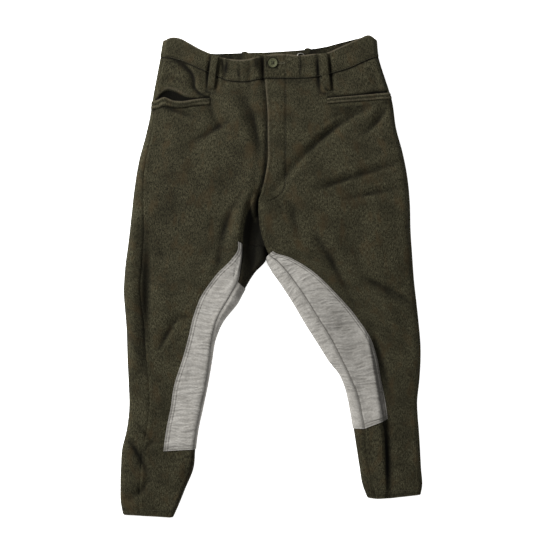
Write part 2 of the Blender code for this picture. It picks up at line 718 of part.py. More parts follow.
def build_button(half):
    """Four-hole button with a raised rim, seated on the tab."""
    x, y = BUTTON_PLACE
    seats = [half.on(x + BUTTON_WIDTH / 2 * math.cos(angle), y + BUTTON_WIDTH / 2 * math.sin(angle))[0][2]
             for angle in np.linspace(0.0, 2 * math.pi, 12, endpoint=False)]
    base = max(seats) + BAND / 2 + GAP
    bpy.ops.mesh.primitive_cylinder_add(
        vertices=32, radius=BUTTON_WIDTH / 2 * MM, depth=BUTTON_WALL * MM,
        location=(x * MM, y * MM, (base + BUTTON_WALL / 2) * MM))
    button = bpy.context.object
    button.name = "button"
    button.data.materials.append(finish("button"))
    shape = bmesh.new()
    shape.from_mesh(button.data)
    upper = [face for face in shape.faces if face.normal.z > 0.9]
    bmesh.ops.inset_region(shape, faces=upper, thickness=BUTTON_RIM * MM, depth=0.0)
    bmesh.ops.translate(shape, verts=list({v for face in upper for v in face.verts}),
                        vec=(0, 0, -BUTTON_DISH * MM))
    shape.to_mesh(button.data)
    shape.free()
    for index in range(4):
        angle = math.pi / 4 + index * math.pi / 2
        bpy.ops.mesh.primitive_cylinder_add(
            vertices=10, radius=BUTTON_HOLE / 2 * MM, depth=2 * BUTTON_WALL * MM,
            location=((x + BUTTON_HOLE_REACH * math.cos(angle)) * MM,
                      (y + BUTTON_HOLE_REACH * math.sin(angle)) * MM,
                      (base + BUTTON_WALL / 2) * MM))
        cutter = bpy.context.object
        cutter.name = "button_hole_cutter_" + str(index)
        cutter.hide_render = True
        cutter.display_type = "WIRE"
        hole = button.modifiers.new("hole_" + str(index), "BOOLEAN")
        hole.object = cutter
        hole.operation = "DIFFERENCE"
    button.data.shade_smooth()
    button.data.set_sharp_from_angle(angle=math.radians(35))


def build_ring():
    """Small wire ring on the inner face of the back waistband."""
    x, y = RING_PLACE
    base = BAND + GAP + (LOOP_WALL + GAP)
    bpy.ops.mesh.primitive_torus_add(
        major_radius=(RING_WIDTH - RING_WIRE) / 2 * MM, minor_radius=RING_WIRE / 2 * MM,
        major_segments=24, minor_segments=8, location=(x * MM, y * MM, (base + RING_WIRE / 2) * MM))
    ring = bpy.context.object
    ring.name = "waist_ring"
    ring.data.materials.append(finish("ring"))
    ring.data.shade_smooth()


def main():
    """Clear the scene and build the breeches."""
    for thing in list(bpy.data.objects):
        bpy.data.objects.remove(thing, do_unlink=True)
    right = Half(RIGHT_ROWS, RIGHT_FOLDS, "rise", "thigh_b", -1, (9, 4, 4, 7, 3))
    left = Half(LEFT_ROWS, LEFT_FOLDS, "crotch", "crotch", 1, (9, 5, 3, 7, 1))
    build_half(right, "right")
    build_half(left, "left")
    build_tab(left)
    build_front_loop(right, "right")
    build_front_loop(left, "left")
    build_rear_loop(REAR_LOOPS[0], "right")
    build_rear_loop(REAR_LOOPS[1], "left")
    build_button(left)
    build_ring()
    for thing in bpy.data.objects:
        thing.location.x -= MIDDLE[0] * MM
        thing.location.y -= MIDDLE[1] * MM


main()
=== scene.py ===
"""Looks of the riding breeches: fine cloth, stitching, finishes, studio light and camera."""

from __future__ import annotations

import logging
import math
from dataclasses import dataclass, field
from enum import Enum
from typing import Iterable, Sequence

import bmesh
import bpy
import numpy as np
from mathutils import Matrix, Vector, noise


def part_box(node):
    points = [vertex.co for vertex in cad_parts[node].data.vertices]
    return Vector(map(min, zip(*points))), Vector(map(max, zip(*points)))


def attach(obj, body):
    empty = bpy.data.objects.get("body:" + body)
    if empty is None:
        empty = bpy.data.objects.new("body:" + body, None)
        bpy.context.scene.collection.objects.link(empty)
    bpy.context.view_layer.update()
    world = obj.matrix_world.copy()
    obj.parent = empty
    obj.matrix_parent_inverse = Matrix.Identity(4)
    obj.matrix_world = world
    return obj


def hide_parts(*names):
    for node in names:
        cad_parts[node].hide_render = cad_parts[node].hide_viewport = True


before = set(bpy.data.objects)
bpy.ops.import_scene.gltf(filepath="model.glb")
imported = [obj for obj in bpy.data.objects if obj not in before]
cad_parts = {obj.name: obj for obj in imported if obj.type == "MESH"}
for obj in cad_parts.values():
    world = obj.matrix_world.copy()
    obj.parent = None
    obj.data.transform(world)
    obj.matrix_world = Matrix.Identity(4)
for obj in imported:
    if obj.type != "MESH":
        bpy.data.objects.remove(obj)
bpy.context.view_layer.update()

LOG = logging.getLogger("breeches")
MM = 0.001
Points = np.ndarray

# Sizes of the construction, in millimetres, as the solids have them
CLOTH = 2.0
BAND = 3.0
PATCH = 1.0
WELT = 3.0
GAP = 0.3
SEAM = 0.05
LOOP_WIDTH = 12.0
LOOP_WALL = 1.6
BAND_HEIGHT = 43.0
REAR_LOOPS = (-49.0, 65.0)
REAR_LOOP_LENGTH = 62.0
REAR_LOOP_RISE = 3.0
FOLD_RADIUS = 3.0
FOLD_RISE = 2.2
SEAT_SEAM = ((-6.0, 406.0), (-11.0, 33.0))
MIDDLE = (-1.0, 1.03)
ORIGIN = np.array((*MIDDLE, 0.0))
UP = np.array((0.0, 0.0, 1.0))
BUTTON_PLACE = (2.0, 385.0)
DIP = 4.2
DIP_START = 10.0
DIP_END = 1.5
DIP_FLOOR = 5.0
LEAST_ROOM = 2.6
SIDE_ROUND = 1.4
SIDE_LIMITS = (3.5, 14.0)
LOOP_REACH = (20.0, 40.0)
LOOP_FOOT = (318.0, 334.0)
RELIEF = 1.4
FAR = 999.0
PATCH_ROWS = (3.0, 7.2)
FINE_STEP = 2.7


@dataclass(frozen=True)
class Row:
    """One section across a half: its side, pocket and patch edge, inseam and inner side."""

    name: str
    outer_x: float
    outer_y: float
    edge_x: float
    edge_y: float
    inseam_x: float
    inseam_y: float
    inner_x: float
    inner_y: float
    outseam: float


@dataclass(frozen=True)
class Waist:
    """Heights up the body of the waist lines at one place across."""

    x: float
    front_top: float
    front_seam: float
    back_top: float


@dataclass(frozen=True)
class Fold:
    """A ridge or, with a negative height, a valley through three places."""

    name: str
    start_x: float
    start_y: float
    mid_x: float
    mid_y: float
    end_x: float
    end_y: float
    left: float
    right: float
    height: float


@dataclass(frozen=True)
class ForkShade:
    """Painted shade of the cloth down in the fork at one section, and where across it starts."""

    row: str
    start: float
    strength: float


@dataclass(frozen=True)
class Bead:
    """A soft ridge beside a line or, with a negative height, a groove."""

    height: float
    centre: float
    width: float

    def at(self, away: Points) -> Points:
        """Its height at distances from the line."""
        return self.height * np.exp(-((away - self.centre) / self.width) ** 2)


class Side(Enum):
    """The wearer's side that a half is for."""

    RIGHT = "right"
    LEFT = "left"

    @property
    def sign(self) -> int:
        """-1 for the wearer's right, which is at -X, and 1 for the left."""
        return -1 if self is Side.RIGHT else 1


RIGHT_ROWS = tuple(Row(*row) for row in (
    ("top", -195, 425, -102, 398, -52, 391, 22, 399, 5),
    ("seam", -200, 395, -107, 362, -52, 350, 22, 357, 5),
    ("mouth", -215, 313, -111, 322, -52, 317, 24, 313, 5),
    ("welt", -217, 299, -112, 310, -50, 304, 24, 299, 6),
    ("hip", -226, 256, -110, 268, -41, 259, 25, 252, 10),
    ("seat", -238, 211, -99, 218, -29, 205, 24, 196, 12),
    ("fly_end", -247, 157, -79, 162, -30, 151, 4, 142, 16),
    ("fork_high", -252, 112, -70, 126, -45, 119, -12, 106, 22),
    ("fork_low", -257, 67, -64, 90, -52, 86, -13, 76, 27),
    ("rise", -260, 44, -61, 64, -54, 60, -11.6, 52, 28),
    ("crotch", -263, 22, -62, 48, -54, 42, -11.4, 31, 30),
    ("thigh_a", -265, -2, -74, 30, -56, 19, -31, 9, 30),
    ("thigh_b", -266, -29, -101, 3, -61, -9, -49, -20, 30),
    ("thigh_c", -264, -56, -124, -29, -77, -38, -63, -46, 30),
    ("thigh_d", -261, -93, -140, -68, -99, -77, -90, -81, 32),
    ("knee_a", -260, -122, -150, -108, -109, -114, -104, -115, 32),
    ("knee_b", -259, -153, -160, -146, -114, -151, -110, -151, 34),
    ("knee_c", -257, -194, -176, -196, -121, -196, -118, -196, 36),
    ("calf_a", -256, -236, -182, -236, -130, -239, -127, -239, 36),
    ("calf_b", -261, -277, -190, -275, -138, -277, -135, -277, 36),
    ("patch_end", -269, -311, -195, -313, -142, -310, -139, -309, 36),
    ("calf_c", -271, -340, -198, -344, -145, -342, -142, -342, 36),
    ("calf_d", -272, -378, -205, -381, -160, -380, -157, -380, 34),
    ("cuff", -271, -408, -210, -412, -173, -412, -170, -412, 32),
    ("hem", -267, -428, -214, -431, -182, -433, -179, -432, 30),
))

LEFT_ROWS = tuple(Row(*row) for row in (
    ("top", 188, 426, 93, 402, -14, 401, -14, 401, 3),
    ("seam", 191.5, 396, 96, 362, -12, 359, -12, 359, 3),
    ("mouth", 211.5, 332, 100, 322, -9, 317, -9, 317, 3),
    ("welt", 215, 320, 99, 311, -8, 304, -8, 304, 3),
    ("hip", 223, 268, 90, 267, -7, 252, -7, 252, 3),
    ("seat", 235, 223, 74, 220, -7, 211, -7, 211, 3),
    ("fly_end", 244, 175, 51, 168, -17, 157, -17, 157, 3),
    ("fork_high", 248, 130, 27, 128, -24, 133, -24, 133, 3),
    ("fork_low", 249, 87, 11, 92, -21, 88, -21, 88, 3),
    ("crotch", 252, 40, 2, 47, -5, 41, -9, 34, 3),
    ("thigh_a", 255, -3, 33, 35, 11, 27, -1, 15, 3),
    ("thigh_b", 260, -48, 74, 10, 34, 0, 19, -14, 3),
    ("thigh_c", 264, -86, 115, -29, 57, -32, 41, -48, 3),
    ("thigh_d", 267, -122, 150, -69, 84, -75, 62, -84, 3),
    ("knee_a", 267, -153, 174, -105, 106, -111, 85, -120, 3),
    ("knee_b", 265, -185, 187, -142, 124, -146, 104, -150, 3),
    ("knee_c", 261, -225, 196, -184, 141, -182, 126, -180, 3),
    ("calf_a", 262, -250, 204, -218, 154, -214, 137, -212, 3),
    ("patch_end", 264, -275, 209, -255, 166, -273, 148, -272, 3),
    ("calf_b", 266, -306, 210, -299, 169, -304, 153, -304, 3),
    ("calf_c", 268, -344, 210, -340, 175, -344, 159, -342, 3),
    ("cuff", 270, -376, 212, -376, 183, -376, 165, -376, 3),
    ("hem", 267, -392, 214, -398, 188, -399, 173, -397, 3),
))

WAIST = tuple(Waist(*row) for row in (
    (-195, 425, 395, 424), (-180, 431, 393, 425), (-164, 429, 389, 420),
    (-147, 420, 382, 413), (-129, 410, 374, 407), (-110, 402, 366, 403),
    (-81, 393, 354, 403), (-50, 391, 351, 404), (-14, 399, 357, 405),
    (22, 401, 357, 407), (52, 398.8, 357.5, 409), (72, 401, 358.5, 411),
    (101, 404, 364, 416),
    (119, 412, 369, 421), (139, 421, 375, 426), (159, 430, 384, 431),
    (175, 435, 391, 434), (188, 427, 396, 427),
))

# Height of the upper layer's middle over the surface, from the waist to the hem
CROWNS = ((430, 13), (396, 13.5), (320, 15), (250, 16), (160, 17), (60, 16), (-40, 15),
          (-120, 14), (-200, 13), (-300, 12), (-390, 10), (-430, 9))

# The folds of the solids come first in each table, then the finer creases
RIGHT_FOLDS = tuple(Fold(*row) for row in (
    ("inner_roll", -38, 172, -58, 100, -68, 20, 10, 16, 6.0),
    ("fork_valley", -24, 145, -33, 70, -34, -8, 10, 12, -10.0),
    ("fly_valley", -22, 340, -24, 262, -26, 190, 14, 12, -1.4),
    ("loop_ridge", -94, 350, -70, 312, -52, 262, 12, 22, 3.0),
    ("front_crease", -80, 279, -106, 262, -138, 243, 5, 9, -3.2),
    ("pocket_drag", -188, 302, -162, 294, -134, 286, 6, 8, -3.0),
    ("hip_diagonal", -168, 388, -143, 366, -139, 340, 3.5, 9, -3.6),
    ("hip_diagonal_low", -141, 350, -132, 332, -110, 322, 4, 8, -3.0),
    ("hip_diagonal_lip", -160, 392, -136, 366, -132, 344, 6, 5, 2.0),
    ("outseam_valley", -221, 40, -223, -36, -222, -114, 9, 7, -3.0),
    ("knee_crease", -171, -77, -190, -108, -201, -130, 5, 9, -3.5),
    ("knee_ridge", -256, -94, -243, -119, -232, -149, 9, 9, 3.0),
    ("calf_crease", -250, -257, -228, -281, -214, -297, 5, 8, -2.5),
    ("calf_bend_high", -262, -289, -236, -328, -221, -365, 8, 7, -4.0),
    ("calf_bend_low", -221, -365, -236, -386, -260, -399, 7, 8, -3.0),
    ("calf_inner", -147, -333, -154, -360, -166, -386, 8, 8, -3.0),
    ("inner_crease", -28, 178, -78, 108, -96, 30, 8, 5, -2.0),
    ("inner_crease_low", -96, 40, -100, 18, -112, 0, 6, 5, -1.2),
    ("side_dimple", -202, 50, -198, 40, -196, 30, 9, 9, -1.2),
    ("knee_crease_fork", -171, -77, -158, -72, -148, -74, 5, 6, -1.6),
    ("calf_fork", -208, -290, -218, -300, -228, -310, 5, 5, -1.6),
    ("band_gather_a", -89, 396, -87, 376, -84, 344, 4, 4, -2.6),
    ("band_gather_b", -58, 386, -57, 372, -56, 344, 4, 4, -1.2),
    ("band_gather_c", -41, 390, -40, 370, -38, 322, 4, 5, -1.6),
    ("band_gather_d", -19, 398, -17, 376, -17, 346, 4, 6, -3.0),
    ("hip_soft_a", -176, 240, -160, 200, -150, 150, 18, 14, 1.2),
    ("hip_soft_b", -120, 220, -112, 160, -118, 96, 20, 16, 1.4),
    ("thigh_soft", -206, 20, -196, -40, -192, -92, 12, 14, 1.2),
    ("patch_pull", -96, 12, -110, -16, -126, -34, 6, 8, -1.2),
    ("fly_hollow", -52, 332, -32, 280, -21, 214, 8, 10, -2.4),
    ("loop_ridge_low", -66, 304, -44, 256, -28, 200, 10, 12, 1.8),
    ("leg_valley_soft", -228, 98, -229, -20, -229, -160, 12, 10, -1.8),
    ("leg_ridge", -248, 96, -249, -20, -248, -165, 7, 6, 1.4),
    ("fork_lip", -30, 146, -33, 126, -28, 104, 3.5, 4.5, 6.0),
    ("calf_soft", -236, -186, -226, -222, -228, -262, 10, 12, 1.0),
    ("hem_soft", -236, -404, -222, -416, -206, -424, 8, 8, -0.9),
    ("hem_soft_b", -262, -412, -250, -420, -236, -428, 6, 7, -0.8),
    ("pocket_sag", -196, 296, -168, 284, -140, 280, 10, 14, 1.0),
    ("loop_slot_outer", -110, 396, -114, 368, -116, 338, 3, 4, -3.2),
    ("loop_slot_inner", -93, 392, -97, 366, -99, 340, 4, 3, -1.6),
    ("hip_side_fold", -205, 378, -204, 352, -208, 326, 7, 7, 2.2),
    ("hip_hollow", -200, 352, -182, 356, -160, 350, 7, 6, -1.4),
    ("welt_roll", -208, 296, -184, 290, -160, 294, 6, 8, 1.8),
    ("crease_under_loop", -112, 322, -106, 296, -92, 268, 5, 8, -2.0),
))

LEFT_FOLDS = tuple(Fold(*row) for row in (
    ("hip_short", 209, 308, 192, 282, 168, 258, 6, 10, -4.0),
    ("hip_long", 178, 308, 84, 244, 6, 156, 7, 10, -4.5),
    ("seat_cross", 238, 209, 140, 177, 76, 156, 6, 9, -3.0),
    ("seat_cross_low", 236, 160, 180, 150, 132, 139, 6, 8, -2.5),
    ("crotch_drop", 34, 130, 40, 100, 50, 66, 8, 7, -2.5),
    ("thigh_fold", 76, 76, 112, 18, 155, -62, 10, 7, -3.0),
    ("knee_cross", 173, -4, 214, -24, 262, -52, 6, 9, -3.0),
    ("knee_roll", 193, -27, 213, -64, 228, -106, 10, 9, 3.0),
    ("patch_shadow", 178, -92, 196, -140, 212, -190, 7, 8, -3.5),
    ("calf_roll", 170, -112, 190, -230, 203, -388, 4, 16, 5.0),
    ("calf_shadow", 184, -118, 202, -235, 213, -385, 9, 5, -3.6),
    ("hip_long_upper", 148, 300, 112, 288, 84, 268, 5, 6, -1.6),
    ("hip_long_side", 122, 286, 88, 262, 60, 226, 8, 12, 1.6),
    ("seat_cross_ridge", 232, 220, 160, 196, 92, 176, 10, 10, 1.4),
    ("crotch_pull", 4, 148, 18, 120, 26, 88, 5, 6, -1.4),
    ("thigh_soft_a", 190, 110, 176, 56, 186, 6, 18, 16, 1.4),
    ("thigh_soft_b", 96, 100, 128, 46, 168, 2, 10, 14, 1.4),
    ("side_soft", 228, 140, 240, 84, 242, 28, 7, 9, 1.8),
    ("knee_cross_low", 196, -18, 226, -36, 254, -66, 6, 8, 1.4),
    ("knee_nick", 246, -198, 253, -208, 260, -220, 4, 5, -1.6),
    ("calf_soft_a", 240, -150, 246, -196, 238, -250, 8, 10, 1.0),
    ("calf_soft_b", 236, -270, 244, -320, 240, -372, 8, 9, -0.9),
    ("patch_fold_a", 58, -4, 74, -24, 96, -44, 6, 7, -1.0),
    ("patch_fold_b", 108, -58, 128, -84, 148, -100, 6, 7, -1.0),
    ("pocket_sag", 110, 300, 150, 306, 196, 308, 9, 8, 0.9),
    ("fly_soft", 10, 340, 8, 260, 6, 190, 7, 8, 0.8),
    ("loop_slot_outer", 103, 398, 105, 370, 108, 338, 4, 3, -3.0),
    ("loop_slot_inner", 83, 396, 84, 368, 86, 338, 3, 4, -2.6),
    ("band_gather", 58, 396, 59, 380, 60, 362, 5, 5, -1.0),
    ("hip_side_fold", 180, 380, 186, 352, 196, 330, 8, 8, -1.8),
))

# Strokes of painted shade, in the form of folds whose height is how dark they are
RIGHT_SHADES = tuple(Fold(*row) for row in (
    ("thigh_broad", -186, 215, -182, 140, -176, 60, 26, 22, 0.24),
    ("fork", -25, 140, -31, 80, -32, 24, 16, 6, 1.0),
    ("fork_seat", -34, 52, -38, 16, -46, -16, 15, 9, 0.9),
    ("fly_side", -9, 345, -10, 250, -15, 176, 2.6, 2.2, 0.9),
    ("fly_hook", -10, 208, -12, 184, -23, 156, 3, 3, 1.0),
    ("loop_outer", -109, 400, -113, 370, -118, 330, 3, 3.5, 1.2),
    ("hip_fold", -170, 391, -145, 369, -139, 344, 1.8, 6, 0.85),
    ("hip_fold_low", -140, 352, -133, 333, -110, 321, 1.8, 5, 0.85),
    ("band_shadow", -196, 388, -170, 387, -148, 374, 3, 9, 0.6),
    ("gather_a", -89, 394, -89, 386, -88, 374, 2, 2, 0.85),
    ("gather_b", -81, 392, -82, 376, -85, 359, 3.5, 3, 1.1),
    ("gather_c", -30, 393, -28, 386, -27, 374, 3, 3, 1.0),
    ("gather_e", -62, 372, -60, 364, -58, 356, 3, 3, 0.65),
    ("tab_valley", -18, 398, -16, 378, -16, 352, 3, 6, 1.1),
    ("fly_hollow", -58, 328, -34, 276, -21, 214, 7, 10, 0.34),
    ("leg_valley", -227, 104, -230, -20, -230, -170, 8, 9, 0.8),
    ("side_blotch", -206, 74, -206, 50, -200, 28, 9, 10, 0.3),
    ("calf_star", -262, -291, -240, -322, -222, -362, 6, 4, 0.75),
    ("calf_star_side", -220, -298, -238, -326, -248, -352, 4, 4, 0.5),
    ("knee_bend", -174, -79, -192, -106, -204, -134, 5, 3, 0.6),
    ("knee_outer", -256, -106, -242, -130, -230, -154, 5, 5, 0.5),
    ("loop_inner", -95, 396, -99, 366, -103, 332, 2, 2, 0.55),
    ("loop_foot", -120, 334, -111, 331, -102, 333, 1.5, 2.5, 0.9),
    ("under_welt", -214, 297, -180, 307, -120, 309, 2, 3, 0.7),
    ("under_welt_soft", -200, 303, -172, 302, -142, 300, 4, 8, 0.45),
    ("calf_inner", -141, -318, -150, -356, -165, -392, 6, 5, 0.55),
    ("hip_side", -214, 360, -216, 334, -214, 318, 5, 5, 0.6),
))

LEFT_SHADES = tuple(Fold(*row) for row in (
    ("patch_broad", 70, -34, 140, -104, 190, -250, 34, 34, 0.42),
    ("patch_fold", 173, -108, 187, -187, 201, -270, 1.8, 1.4, 2.0),
    ("knee_cross", 168, -2, 212, -24, 262, -54, 3, 7, 0.5),
    ("calf_fold", 201, -250, 205, -322, 207, -396, 10, 2, 1.2),
    ("patch_side", 180, -112, 202, -180, 213, -236, 7, 3, 0.6),
    ("loop_outer", 103, 400, 106, 368, 110, 326, 2, 1.6, 0.9),
    ("loop_inner", 82, 399, 83, 368, 86, 332, 3, 4, 1.3),
    ("loop_foot", 86, 333, 96, 330, 106, 332, 1.5, 2.5, 0.9),
    ("tab_seam", 50, 398, 51, 378, 50, 360, 1.9, 1.9, 1.2),
    ("tab_edge", -12, 400, -11, 380, -11, 358, 1.4, 2, 0.9),
    ("band_under", 2, 354, 50, 353, 90, 356, 3, 5, 0.5),
    ("knee_dark", 186, -18, 208, -30, 236, -52, 6, 3, 0.4),
    ("under_welt", 108, 303, 160, 307, 214, 317, 3, 3, 0.4),
    ("fork_edge", -22, 128, -19, 84, -9, 38, 2, 2, 0.5),
))

FORK_SHADES = tuple(ForkShade(*row) for row in (
    ("seat", 0.95, 0.0), ("fly_end", 0.14, 0.97), ("fork_high", -0.02, 1.0), ("fork_low", -0.05, 1.0),
    ("rise", -0.05, 0.95), ("crotch", -0.2, 0.88), ("thigh_a", -0.25, 0.82), ("thigh_b", -0.3, 0.7),
    ("thigh_c", -0.3, 0.1), ("thigh_d", -0.3, 0.0),
))

# A strip in the fork where the painted shade is taken off, so that a lit fold shows
FORK_LIT_STRIP = Fold("fork_strip", -30, 144, -33, 124, -29, 102, 2.6, 3.6, 0.8)

# Lengths of cloth, in millimetres, that set how many columns each part of a ring has
OUTER_SPREAD = 150.0
FRONT_SPREAD = {Side.RIGHT: 66.0, Side.LEFT: 110.0}
INNER_SPREAD = {Side.RIGHT: 54.0, Side.LEFT: 26.0}
UNDER_SPREAD = 75.0
WRAP_SPREAD = 34.0
LEFT_WRAP_CELLS = 3

# Swells of loose cloth: waves to the millimetre across and up, seed and height
SWELLS = ((0.022, 0.013, 3.7, 1.5), (0.06, 0.035, 9.1, 0.75), (0.14, 0.08, 5.3, 0.22))
BAND_FADE = (345.0, 300.0)
BAND_CALM = 0.25

# Relief beside the sewn lines, by distance from the line
BAND_ROLL = Bead(0.9, 3.8, 2.4)
BAND_GROOVE = Bead(-1.3, -1.4, 2.2)
SEAM_ROLL = Bead(0.45, 4.5, 2.6)
SEAM_GROOVE = Bead(-0.5, 0.0, 1.8)
FLY_GROOVE = Bead(-1.1, 0.0, 1.9)
FLY_RIM = Bead(1.3, 2.4, 2.2)
FLY_STEP = 0.6
FLY_STEP_REACH = 1.5
FLY_FOOT = (132.0, 140.0)

# The fly's stitch line: heights of its foot and bend, place across, turn of its foot and roundness
FLY_BEND = (136.0, 172.0)
FLY_LINE_X = 24.5
FLY_TURN = 44.0
FLY_ROUND = 2.2

# The slack right welt's arch, by height up the body and by place across
WELT_REACH = Bead(1.0, 312.0, 13.0)
WELT_ARCH = Bead(9.0, -194.0, 13.0)
WELT_SAG = Bead(-1.6, -158.0, 12.0)

# The fork: room at the seat seam, its notch and the roll and painted shade of its inner side
SEAT_GAP = 0.19
FORK_NOTCH = Bead(-1.0, 52.0, 5.0)
FORK_ROLL = {Side.RIGHT: 0.0, Side.LEFT: 0.32}
FORK_EASE = 0.12

# Painted shade in creases, sewn lines, round the button and inside the waist's mouth, and painted highlight
# with some wear on folded edges
CREASE_WINDOW = 14.0
CREASE_START = 0.2
CREASE_DEPTH = 3.4
CREASE_MOST = 0.9
BAND_LINE = Bead(0.85, 0.0, 1.7)
HEM_LINE = Bead(0.3, 11.0, 1.7)
HEM_TURN = Bead(0.5, 5.0, 1.4)
FLY_LINE = Bead(0.6, 0.0, 1.7)
FLY_LINE_ENDS = ((134.0, 140.0), (358.0, 354.0))
SLIT_LINE = Bead(1.0, BUTTON_PLACE[1], 1.0)
SLIT_ENDS = ((6.0, 8.0), (22.5, 21.0))
BUTTON_SHADOW = 0.9
BUTTON_SHADOW_REACH = (12.0, 9.6)
MOUTH_SHADE = 0.95
MOUTH_GATHER_LIFT = 1.6
MOUTH_LIMITS = (0.45, 0.92)
TOP_WEAR_AND_HIGHLIGHT = Bead(0.6, 0.0, 1.8)
FLY_WEAR_AND_HIGHLIGHT = Bead(0.27, 0.0, 2.2)
FLY_WEAR_AND_HIGHLIGHT_ENDS = (130.0, 220.0)
HEM_WEAR_AND_HIGHLIGHT = 0.35

# Puckers of the patches: seeds, height, depth of the sewn rows and the rows' own form
PUCKER_SEED = {Side.RIGHT: 5.0, Side.LEFT: 11.0}
PUCKER_HEIGHT = 0.25
PUCKER_FLOOR = -0.12
PUCKER_GROOVE = 0.22
PATCH_ROW = Bead(1.0, 0.0, 0.9)
PATCH_EDGE = Bead(1.0, 1.2, 1.0)

Line = tuple[Points, Points]
Spot = tuple[Points, Points, Points]


def smooth_step(low: float, high: float, value: Points) -> Points:
    """Ease from 0 at low to 1 at high.

    Args:
        low: where the ease starts.
        high: where it ends.
        value: the values to ease.

    Returns:
        The eased shares.
    """
    share = np.clip((np.asarray(value, dtype=float) - low) / (high - low), 0.0, 1.0)
    return share * share * (3.0 - 2.0 * share)


def through(knots: Sequence[float], values: Sequence[float], at: Points) -> Points:
    """Read a smooth curve that passes through the values at the knots.

    Args:
        knots: rising places of the known values.
        values: the known values.
        at: the places to read.

    Returns:
        The curve's values there.
    """
    knots = np.asarray(knots, dtype=float)
    values = np.asarray(values, dtype=float)
    at = np.clip(np.asarray(at, dtype=float), knots[0], knots[-1])
    slopes = np.gradient(values, knots)
    index = np.clip(np.searchsorted(knots, at, side="right") - 1, 0, len(knots) - 2)
    span = knots[index + 1] - knots[index]
    share = (at - knots[index]) / span
    return ((1 + 2 * share) * (1 - share) ** 2 * values[index]
            + share * share * (3 - 2 * share) * values[index + 1]
            + share * (1 - share) ** 2 * span * slopes[index]
            + share * share * (share - 1) * span * slopes[index + 1])


def fold_height(fold: Fold, x: Points, y: Points) -> Points:
    """Height that one fold adds.

    Args:
        fold: the fold.
        x: places across.
        y: places up the body.

    Returns:
        Its height at each place.
    """
    start = np.array((fold.start_x, fold.start_y), dtype=float)
    middle = np.array((fold.mid_x, fold.mid_y), dtype=float)
    end = np.array((fold.end_x, fold.end_y), dtype=float)
    control = 2.0 * middle - 0.5 * (start + end)
    steps = np.linspace(0.0, 1.0, 17)[:, None]
    path = (1 - steps) ** 2 * start + 2 * steps * (1 - steps) * control + steps ** 2 * end
    reach = 3.0 * max(fold.left, fold.right)
    low, high = path.min(axis=0) - reach, path.max(axis=0) + reach
    near = (x > low[0]) & (x < high[0]) & (y > low[1]) & (y < high[1])
    result = np.zeros_like(x)
    if not near.any():
        return result
    place = np.stack((x[near], y[near]), axis=1)
    best = np.full(len(place), 1e9)
    along = np.zeros(len(place))
    side = np.zeros(len(place))
    for index in range(len(path) - 1):
        run = path[index + 1] - path[index]
        offset = place - path[index]
        share = np.clip(offset @ run / (run @ run), 0.0, 1.0)
        away = offset - share[:, None] * run
        distance = np.sum(away * away, axis=1)
        closer = distance < best
        best = np.where(closer, distance, best)
        along = np.where(closer, (index + share) / (len(path) - 1), along)
        side = np.where(closer, run[0] * offset[:, 1] - run[1] * offset[:, 0], side)
    width = np.where(side > 0, fold.left, fold.right)
    taper = 0.35 + 0.65 * np.sin(np.pi * along)
    result[near] = fold.height * taper * np.exp(-best / width ** 2)
    return result


def waist_curve(name: str, x: Points) -> Points:
    """Height up the body of a named waist line.

    Args:
        name: the column of the waist table.
        x: places across.

    Returns:
        The line's heights.
    """
    return through([row.x for row in WAIST], [getattr(row, name) for row in WAIST], x)


def seat_seam_x(y: Points) -> Points:
    """Place across of the centre back seam at heights up the body."""
    (top_x, top_y), (low_x, low_y) = SEAT_SEAM
    return low_x + (top_x - low_x) * (y - low_y) / (top_y - low_y)


def left_fly_x(y: Points) -> Points:
    """Place across of the left half's fly and fork edge at heights up the body."""
    rows = LEFT_ROWS[:10]
    return through([-row.inner_y for row in rows], [row.inner_x for row in rows], -np.asarray(y))


def welt_wave(x: Points, y: Points) -> Points:
    """How far the slack right welt arches up near its outer end."""
    return WELT_REACH.at(y) * (WELT_ARCH.at(x) + WELT_SAG.at(x))


def undulation(x: Points, y: Points) -> Points:
    """Soft uneven swell of cloth that lies loose.

    Args:
        x: places across.
        y: places up the body.

    Returns:
        Heights of up to about a millimetre.
    """
    flat = [sum(noise.noise(Vector((a * across, b * up, seed))) * height
                for across, up, seed, height in SWELLS)
            for a, b in zip(x.ravel(), y.ravel())]
    return np.array(flat).reshape(x.shape)


